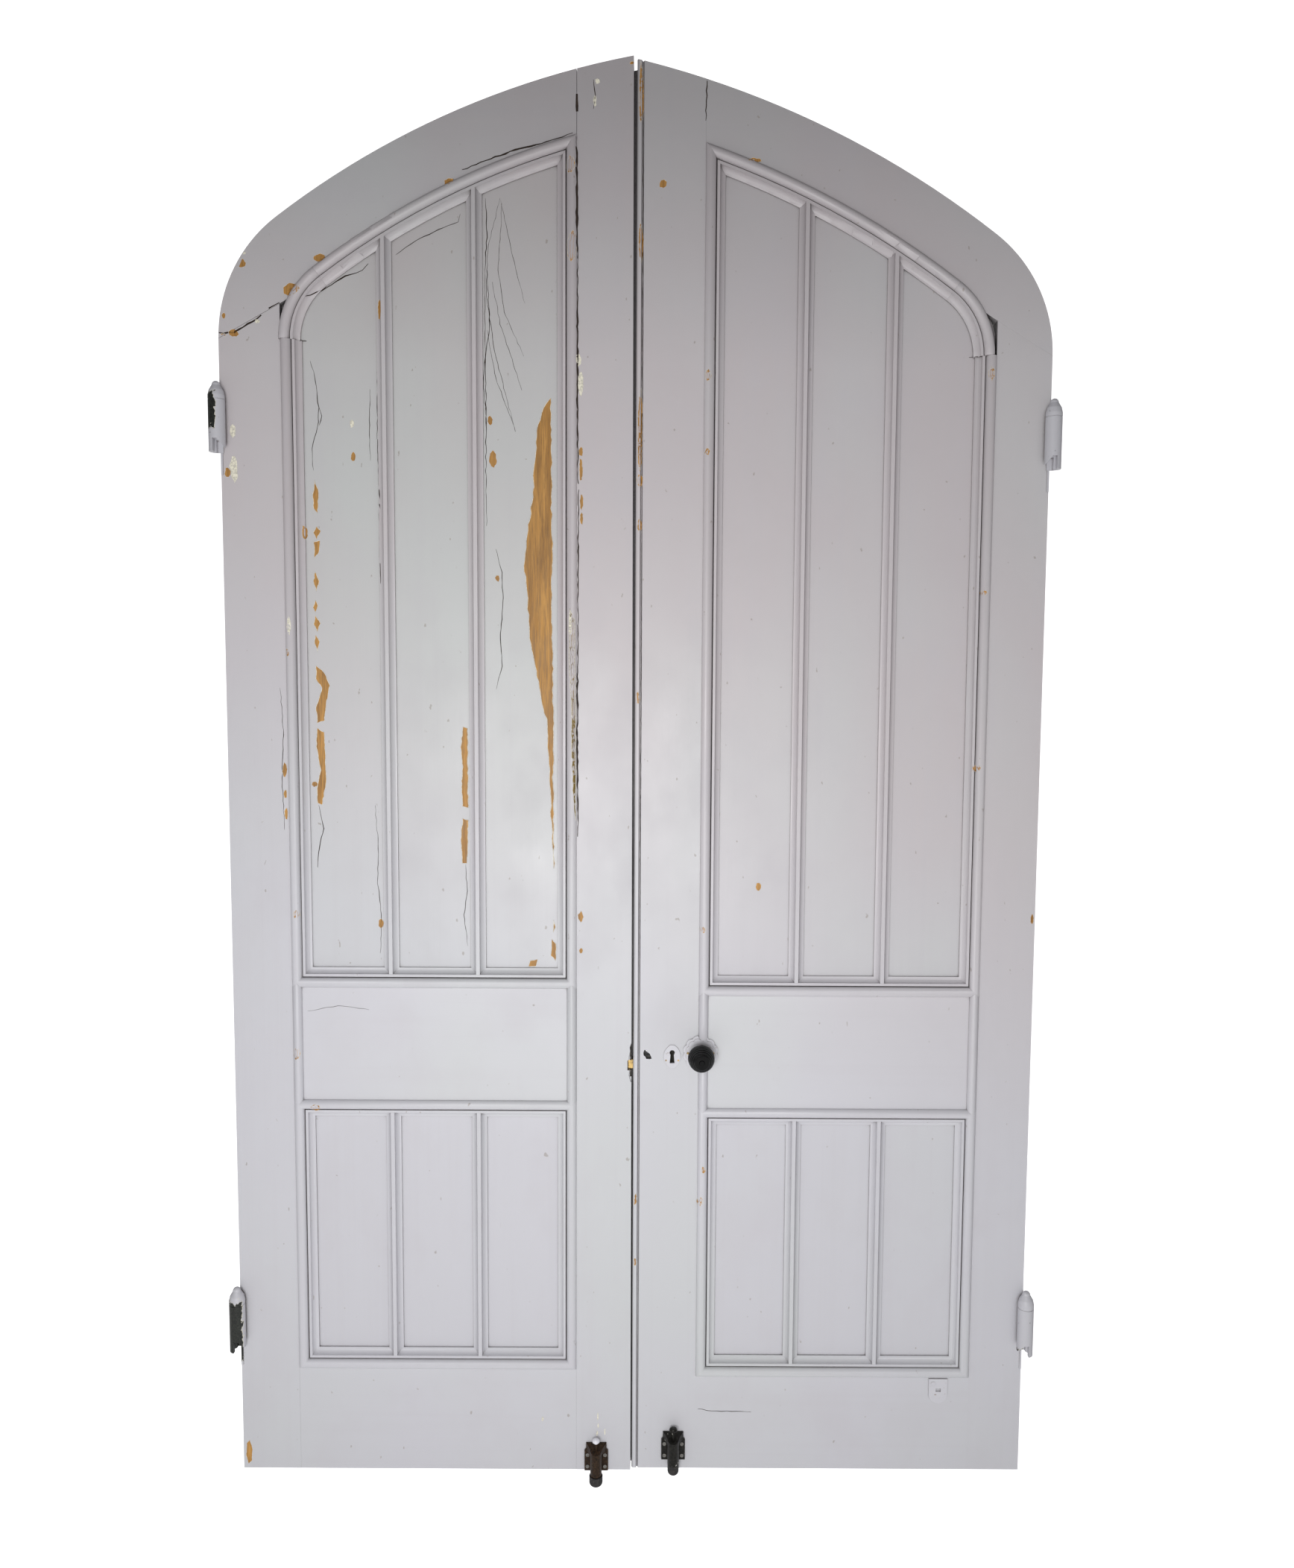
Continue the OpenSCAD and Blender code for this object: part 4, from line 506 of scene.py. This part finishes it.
class DOOR_OT_finishes(bpy.types.Operator):
    """Gives every CAD piece its finish, and the painted pieces softened edges"""

    bl_idname = "door.finishes"
    bl_label = "Finish the leaves and hardware"

    def execute(self, context):
        mats = {}

        def paint(grain, tone, shift):
            key = (grain, tone, shift)
            if key not in mats:
                mats[key] = grey_paint(f"grey_paint_{grain}_{len(mats)}", grain, tone, shift)
            return mats[key]

        fixed = {
            "steel": metal("dull_steel", (0.30, 0.29, 0.27), 0.38),
            "brass": metal("aged_brass", (0.55, 0.38, 0.15), 0.3, 0.7),
            "painted_brass": painted_brass("painted_brass"),
            "ebony": black_polish(),
            "bolt_bronze": splashed("brown_casting", (0.040, 0.021, 0.009), -0.25, 0.3),
            "bolt_iron": splashed("dark_casting", (0.018, 0.017, 0.014), -0.05, 0.3),
            "white_head": painted_brass("white_head", 1.35),
            "rubber": rubber(),
        }
        hinge = {
            "left_upper_hinge": chipped_iron("left_upper_iron", -0.7095, 1.886, 1.944),
            "left_lower_hinge": chipped_iron("left_lower_iron", -0.7, 0.226, 0.346),
            "right_upper_hinge": chipped_iron("right_upper_iron", 0.7, 1.79, 1.8),
            "right_lower_hinge": chipped_iron("right_lower_iron", 0.703, 0.21, 0.262),
        }
        fixed["strike"] = metal("dirty_plate", (0.12, 0.11, 0.10), 0.5, 1.0)
        slots = {s["node"]: s["material_slot"] for s in frame["record"]["subparts"]}
        for name, obj in sorted(frame["nodes"].items()):
            slot = "strike" if name.startswith("strike") else slots[name]
            if slot == "grey_paint":
                rail = any(w in name for w in ("rail", "head"))
                side = 0.35 if name.startswith("left") else 3.1
                kind = {"stile": 0, "panels": 5, "moulding": 9, "beads": 9, "muntins": 9}
                extra = sum(v for k, v in kind.items() if k in name)
                tone = (1, 1, 1)
                if "left_upper_panels" in name:
                    tone = (0.985, 1.0, 0.98)
                elif "lock_rail" in name:
                    tone = (1.03, 1.03, 1.03)
                mat = paint("X" if rail else "Z", tone, side + extra)
            elif slot == "hinge_iron":
                mat = hinge[name]
            else:
                mat = fixed[slot]
            obj.data.materials.clear()
            obj.data.materials.append(mat)
            if slot == "grey_paint":
                weld = obj.modifiers.new("Weld", "WELD")
                weld.merge_threshold = 0.00002
                soft = obj.modifiers.new("Soft", "BEVEL")
                soft.width = 0.0005
                soft.segments = 2
                soft.limit_method = "ANGLE"
                soft.angle_limit = math.radians(40)
                soft.harden_normals = False
        return {"FINISHED"}


class DOOR_OT_levers(bpy.types.Operator):
    """Puts the dark lever pack behind the keyhole, inside the lock case"""

    bl_idname = "door.levers"
    bl_label = "Lock levers"

    def execute(self, context):
        low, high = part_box("lock_case")
        bm = bmesh.new()
        bmesh.ops.create_cube(bm, size=1)
        width, depth, height, drop = 0.030, 0.003, 0.046, 0.004
        place = (KEYHOLE_X * MM, (low.y + high.y) / 2, (low.z + high.z) / 2 - drop)
        bmesh.ops.scale(bm, verts=bm.verts, vec=(width, depth, height))
        bmesh.ops.translate(bm, verts=bm.verts, vec=place)
        bmesh.ops.bevel(bm, geom=bm.edges[:], offset=0.0005, segments=2, profile=0.5,
                        affect="EDGES", material=-1)
        mesh = bpy.data.meshes.new("lock_levers")
        bm.to_mesh(mesh)
        bm.free()
        mesh.materials.append(metal("dark_levers", (0.03, 0.028, 0.025), 0.5, 0.9))
        obj = bpy.data.objects.new("lock_levers", mesh)
        context.scene.collection.objects.link(obj)
        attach(obj, "right_leaf")
        return {"FINISHED"}


class DOOR_OT_left_wear(bpy.types.Operator):
    """Lays the chips, bare wood and splits of the left leaf"""

    bl_idname = "door.left_wear"
    bl_label = "Wear of the left leaf"

    def execute(self, context):
        w = Patches("left")
        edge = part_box("left_upper_moulding")[0].x / MM
        # Long bare area beside the right-hand moulding of the third panel, and its tails
        w.chip([(-154, 1939), (-145, 1948), (-143, 1876), (-144, 1770), (-142, 1690), (-144, 1583),
                (-142, 1475), (-141, 1379), (-142, 1283), (-140, 1200), (-141, 1131), (-146, 1214),
                (-150, 1297), (-153, 1386), (-164, 1434), (-175, 1488), (-185, 1536), (-187, 1597),
                (-193, 1661), (-190, 1704), (-179, 1770), (-174, 1843), (-169, 1902)],
               "b", 9, 1.6, 0.45, 0.9)
        for pts in ([(-143, 1040), (-138, 1026), (-143, 1016)],
                    [(-145, 1005), (-137, 996), (-138, 965), (-148, 974)],
                    [(-184, 965), (-170, 968), (-173, 954), (-187, 954)],
                    [(-301, 1382), (-292, 1379), (-292, 1311), (-292, 1238), (-303, 1241), (-305, 1276),
                     (-302, 1311), (-306, 1345)],
                    [(-303, 1220), (-292, 1217), (-293, 1173), (-295, 1139), (-304, 1139), (-306, 1187)],
                    [(-554, 1807), (-547, 1790), (-549, 1750), (-557, 1757), (-558, 1783)],
                    [(-552, 1728), (-544, 1720), (-552, 1704), (-559, 1717)],
                    [(-558, 1701), (-546, 1704), (-549, 1680), (-557, 1673)],
                    [(-556, 1650), (-548, 1634), (-555, 1615), (-560, 1634)],
                    [(-556, 1601), (-551, 1591), (-557, 1579), (-561, 1588)],
                    [(-557, 1575), (-547, 1560), (-554, 1545), (-561, 1559)],
                    [(-557, 1541), (-549, 1529), (-554, 1510), (-560, 1526)],
                    [(-557, 1488), (-542, 1475), (-533, 1453), (-540, 1420), (-543, 1390), (-557, 1386),
                     (-559, 1414), (-548, 1448), (-558, 1464)],
                    [(-557, 1379), (-544, 1371), (-542, 1332), (-542, 1283), (-550, 1242), (-559, 1245),
                     (-559, 1276), (-552, 1304), (-560, 1345)]):
            w.chip(pts, "b", 5, 0.9)
        # Varnish laid bare on the moulding's bead, with a cream edge
        w.chip([(-112, 1588), (-103, 1570), (-102, 1488), (-101, 1379), (-101, 1283), (-102, 1216),
                (-106, 1256), (-109, 1338), (-110, 1420), (-113, 1488), (-113, 1556)], "o", 8, 0.9, 0.3, 0.6)
        for x, z, a, b, k in (
                (-97, 2007, 11, 19, "c"), (-94, 1968, 9, 40, "c"), (-688, 1823, 13, 48, "c"),
                (-699, 1817, 11, 16, "b"), (-689, 1886, 11, 19, "c"), (-597, 1556, 8, 30, "c"),
                (-671, 2165, 19, 16, "b"), (-670, 2182, 19, 11, "c"), (-583, 2121, 27, 21, "b"),
                (-535, 2174, 21, 12, "b"), (-316, 2299, 16, 13, "b"), (-110, 2326, 15, 29, "b"),
                (-108, 2194, 16, 48, "b"), (-437, 2091, 8, 32, "b"), (-598, 799, 13, 22, "b"),
                (-566, 700, 22, 13, "b"), (-594, 1051, 12, 14, "b"), (-700, 49, 12, 43, "b"),
                (-8, 2492, 8, 6, "b"), (-700, 2077, 7, 11, "b"), (-702, 2046, 9, 7, "b"),
                (-684, 2049, 16, 13, "b"), (-643, 2069, 8, 7, "c"), (-66, 2462, 8, 9, "c"),
                (-70, 2430, 6, 16, "c"), (-93, 1854, 8, 16, "b"), (-93, 1823, 7, 38, "b"),
                (-92, 1770, 6, 26, "b"), (-92, 1741, 6, 19, "b"), (-250, 1909, 9, 16, "b"),
                (-246, 1843, 13, 30, "b"), (-239, 1640, 9, 12, "b"), (-487, 1847, 9, 16, "b"),
                (-572, 1717, 9, 22, "b"), (-488, 1902, 8, 13, "c"), (-562, 1279, 12, 10, "b"),
                (-611, 1304, 8, 25, "b"), (-611, 1263, 7, 14, "b"), (-610, 1228, 7, 19, "b"),
                (-449, 1030, 10, 19, "b"), (-111, 1562, 6, 40, "c"), (-93, 1047, 10, 18, "b"),
                (-92, 987, 7, 11, "b"), (-601, 1509, 7, 14, "b"), (-162, 117, 4, 9, "c"),
                (-61, 122, 3, 14, "c"), (-60, 104, 3, 9, "c"), (-62, 90, 4, 10, "c"), (-48, 93, 3, 12, "c")):
            w.spot(x, z, a, b, k)
        for pts, width in (
                ([(-99, 2477), (-100, 2442), (-99, 2404), (-101, 2373)], 2.6),
                ([(-101, 2373), (-100, 2290), (-99, 2175)], 2.6),
                ([(-99, 2175), (-99, 1950), (-98, 1800)], 2.0),
                ([(-97, 1790), (-98, 1637), (-98, 1560)], 1.6),
                ([(-98, 1560), (-99, 1380), (-98, 1190)], 2.0),
                ([(-72, 2465), (-69, 2440), (-73, 2418)], 1.0),
                ([(-709, 2049), (-684, 2050), (-667, 2059), (-643, 2074), (-623, 2090), (-605, 2100)], 2.2),
                ([(-293, 2318), (-254, 2334), (-204, 2351), (-151, 2364), (-107, 2379)], 1.8),
                ([(-563, 2111), (-536, 2124), (-496, 2149), (-466, 2158), (-456, 2169)], 1.4),
                ([(-558, 2007), (-551, 1981), (-545, 1929), (-547, 1896), (-558, 1860), (-556, 1823)], 0.9),
                ([(-545, 1929), (-540, 1915), (-545, 1899)], 0.9),
                ([(-445, 1876), (-443, 1823), (-442, 1757), (-443, 1690), (-441, 1630)], 1.6),
                ([(-443, 1990), (-444, 1930), (-445, 1876)], 0.8),
                ([(-456, 1960), (-458, 1900), (-457, 1840)], 0.7),
                ([(-556, 1242), (-548, 1200), (-557, 1166), (-560, 1131)], 0.9),
                ([(-298, 1138), (-295, 1089), (-301, 1047), (-295, 991)], 0.7),
                ([(-256, 2278), (-254, 2214), (-258, 2162)], 1.0),
                ([(-258, 2162), (-258, 2046), (-257, 1929), (-258, 1823), (-257, 1730)], 0.8),
                ([(-241, 1690), (-231, 1650), (-229, 1597), (-234, 1543), (-231, 1488), (-242, 1448)], 0.9),
                ([(-457, 1242), (-452, 1173), (-454, 1103), (-448, 1047), (-451, 977)], 0.7),
                ([(-409, 2185), (-376, 2207), (-336, 2226), (-303, 2239), (-299, 2252)], 0.9),
                ([(-616, 1448), (-612, 1366), (-616, 1283), (-613, 1200)], 0.7),
                ([(-578, 875), (-524, 885), (-469, 878)], 0.6),
                ([(edge + 0.5, 2040), (edge + 22, 2040.4), (edge + 44, 2040)], 1.3),
                ([(-231, 2278), (-252, 2200), (-256, 2120), (-241, 2020), (-207, 1890)], 0.55),
                ([(-228, 2270), (-235, 2160), (-225, 2090), (-192, 2017)], 0.55),
                ([(-245, 2140), (-232, 2070), (-215, 2020), (-195, 1960)], 0.55),
                ([(-255, 2060), (-240, 1980), (-206, 1890)], 0.5),
                ([(-230, 2275), (-210, 2180), (-190, 2105)], 0.5),
                ([(-254, 2160), (-250, 2070), (-262, 1980), (-256, 1900)], 0.8)):
            w.crack(pts, width)
        w.build("left_leaf_wear", wear_finishes())
        return {"FINISHED"}


def old_varnish():
    n = Net("old_varnish")
    fine = n.noise(n.stretch((420, 420, 18)), 1, 4, 0.6)
    color = n.mix(n.step(fine, 0.35, 0.65), (0.10, 0.065, 0.012), (0.26, 0.17, 0.035))
    return n.shade(color, 0.38, normal=n.bump(fine, 0.4, 0.0004))


class DOOR_OT_right_wear(bpy.types.Operator):
    """Lays the chips and splits of the right leaf"""

    bl_idname = "door.right_wear"
    bl_label = "Wear of the right leaf"

    def execute(self, context):
        w = Patches("right")
        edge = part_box("right_upper_moulding")[1].x / MM
        for x, z, a, b, k in (
                (45, 2298, 14, 15, "b"), (199, 2336, 27, 9, "b"), (124, 1981, 10, 19, "b"),
                (123, 1854, 9, 12, "b"), (605, 1987, 12, 24, "b"), (602, 1617, 11, 9, "b"),
                (599, 1314, 13, 12, "b"), (222, 1100, 11, 16, "b"), (122, 1026, 10, 11, "b"),
                (6, 1434, 8, 19, "b"), (705, 1047, 6, 17, "b"), (6, 532, 8, 20, "b"),
                (6, 415, 7, 14, "b"), (128, 590, 8, 14, "b"), (122, 532, 11, 15, "b"),
                (8, 2442, 9, 92, "b"), (8, 2201, 10, 58, "b"), (8, 1896, 9, 121, "b"),
                (8, 1807, 11, 22, "b"), (8, 1730, 10, 24, "b"), (99, 812, 12, 9, "b")):
            w.spot(x, z, a, b, k)
        for pts, width in (
                ([(122, 137), (148, 134), (219, 132)], 0.8),
                ([(118, 2480), (117, 2440), (116, 2400)], 1.2),
                ([(edge - 0.5, 2018), (edge - 22, 2018.4), (edge - 44, 2018)], 1.1),
                ([(12, 2400), (12, 2100), (12, 1800)], 0.8),
                ([(12, 1700), (12, 1300), (12, 900)], 0.7)):
            w.crack(pts, width)
        w.build("right_leaf_wear", wear_finishes())
        return {"FINISHED"}


class DOOR_OT_stage(bpy.types.Operator):
    """Sets the pale floor and backdrop, the soft light and the camera"""

    bl_idname = "door.stage"
    bl_label = "Studio and camera"

    def execute(self, context):
        p, scene = props(), context.scene
        bm = bmesh.new()
        rows = [(-4.0, -0.014), (1.6, -0.014), (2.2, 0.12), (2.45, 0.6), (2.5, 6.0)]
        edge = [bm.verts.new((-7.0, y, z)) for y, z in rows]
        lines = [bm.edges.new(pair) for pair in zip(edge, edge[1:])]
        made = bmesh.ops.extrude_edge_only(bm, edges=lines)
        bmesh.ops.translate(bm, verts=[v for v in made["geom"] if isinstance(v, bmesh.types.BMVert)],
                            vec=(14, 0, 0))
        bmesh.ops.recalc_face_normals(bm, faces=bm.faces)
        mesh = bpy.data.meshes.new("studio_sweep")
        bm.to_mesh(mesh)
        bm.free()
        sweep = bpy.data.objects.new("studio_sweep", mesh)
        scene.collection.objects.link(sweep)
        n = Net("white_paper")
        glow = n.tree.nodes.new("ShaderNodeEmission")
        seen = n.tree.nodes.new("ShaderNodeLightPath").outputs["Is Camera Ray"]
        n.put(glow.inputs["Strength"], n.step(seen, 0, 1, 0.22, 1.0))
        plain = n.tree.nodes.new("ShaderNodeBsdfDiffuse")
        plain.inputs["Color"].default_value = (0.8, 0.8, 0.8, 1)
        both = n.tree.nodes.new("ShaderNodeAddShader")
        n.put(both.inputs[0], glow.outputs[0])
        n.put(both.inputs[1], plain.outputs[0])
        n.put(n.out.inputs["Surface"], both.outputs[0])
        mesh.materials.append(n.mat)

        world = bpy.data.worlds.new("room")
        world.use_nodes = True
        world.node_tree.nodes["Background"].inputs[0].default_value = (1.0, 1.0, 1.02, 1)
        world.node_tree.nodes["Background"].inputs[1].default_value = p.sky
        scene.world = world

        def lamp(name, place, aim, size, power):
            data = bpy.data.lights.new(name, "AREA")
            data.shape, data.size, data.energy = "DISK", size, power
            obj = bpy.data.objects.new(name, data)
            scene.collection.objects.link(obj)
            way = Vector(aim) - Vector(place)
            obj.matrix_world = Matrix.Translation(place) @ way.to_track_quat("-Z", "Y").to_matrix().to_4x4()

        lamp("key", (-0.2, -2.3, 1.0), (-0.1, 0, 0.9), 1.1, p.key_power)

        data = bpy.data.cameras.new("camera")
        data.sensor_width = SENSOR
        data.lens = LENS
        data.clip_end = 60
        cam = bpy.data.objects.new("camera", data)
        scene.collection.objects.link(cam)
        pitch, roll, far = math.radians(4.59), math.radians(0.296), 2.089
        aim = Vector((0.0231, FACE * MM, 1.2834))
        place = aim + Vector((0, -math.cos(pitch), math.sin(pitch))) * far
        turn = Matrix.Rotation(math.pi / 2 - pitch, 4, "X") @ Matrix.Rotation(roll, 4, "Z")
        cam.matrix_world = Matrix.Translation(place) @ turn
        scene.camera = cam
        scene.view_settings.view_transform = "Standard"
        scene.view_settings.look = "None"
        scene.cycles.use_denoising = True
        return {"FINISHED"}


class DOOR_PT_panel(bpy.types.Panel):
    """Buttons and settings for the door leaves"""

    bl_idname = "DOOR_PT_panel"
    bl_label = "Arched door leaves"
    bl_space_type = "VIEW_3D"
    bl_region_type = "UI"
    bl_category = "Door"

    def draw(self, context):
        for name in DoorProps.__annotations__:
            self.layout.prop(context.scene.door_leaves, name)
        for op in OPERATORS:
            self.layout.operator(op.bl_idname)


OPERATORS = (DOOR_OT_finishes, DOOR_OT_levers, DOOR_OT_left_wear, DOOR_OT_right_wear, DOOR_OT_stage)
CLASSES = (DoorProps, *OPERATORS, DOOR_PT_panel)


def register():
    for c in CLASSES:
        bpy.utils.register_class(c)
    bpy.types.Scene.door_leaves = bpy.props.PointerProperty(type=DoorProps)


def unregister():
    del bpy.types.Scene.door_leaves
    for c in reversed(CLASSES):
        bpy.utils.unregister_class(c)


def main():
    register()
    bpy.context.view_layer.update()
    bpy.ops.door.finishes()
    bpy.ops.door.levers()
    bpy.ops.door.left_wear()
    bpy.ops.door.right_wear()
    bpy.ops.door.stage()


if __name__ == "__main__":
    main()
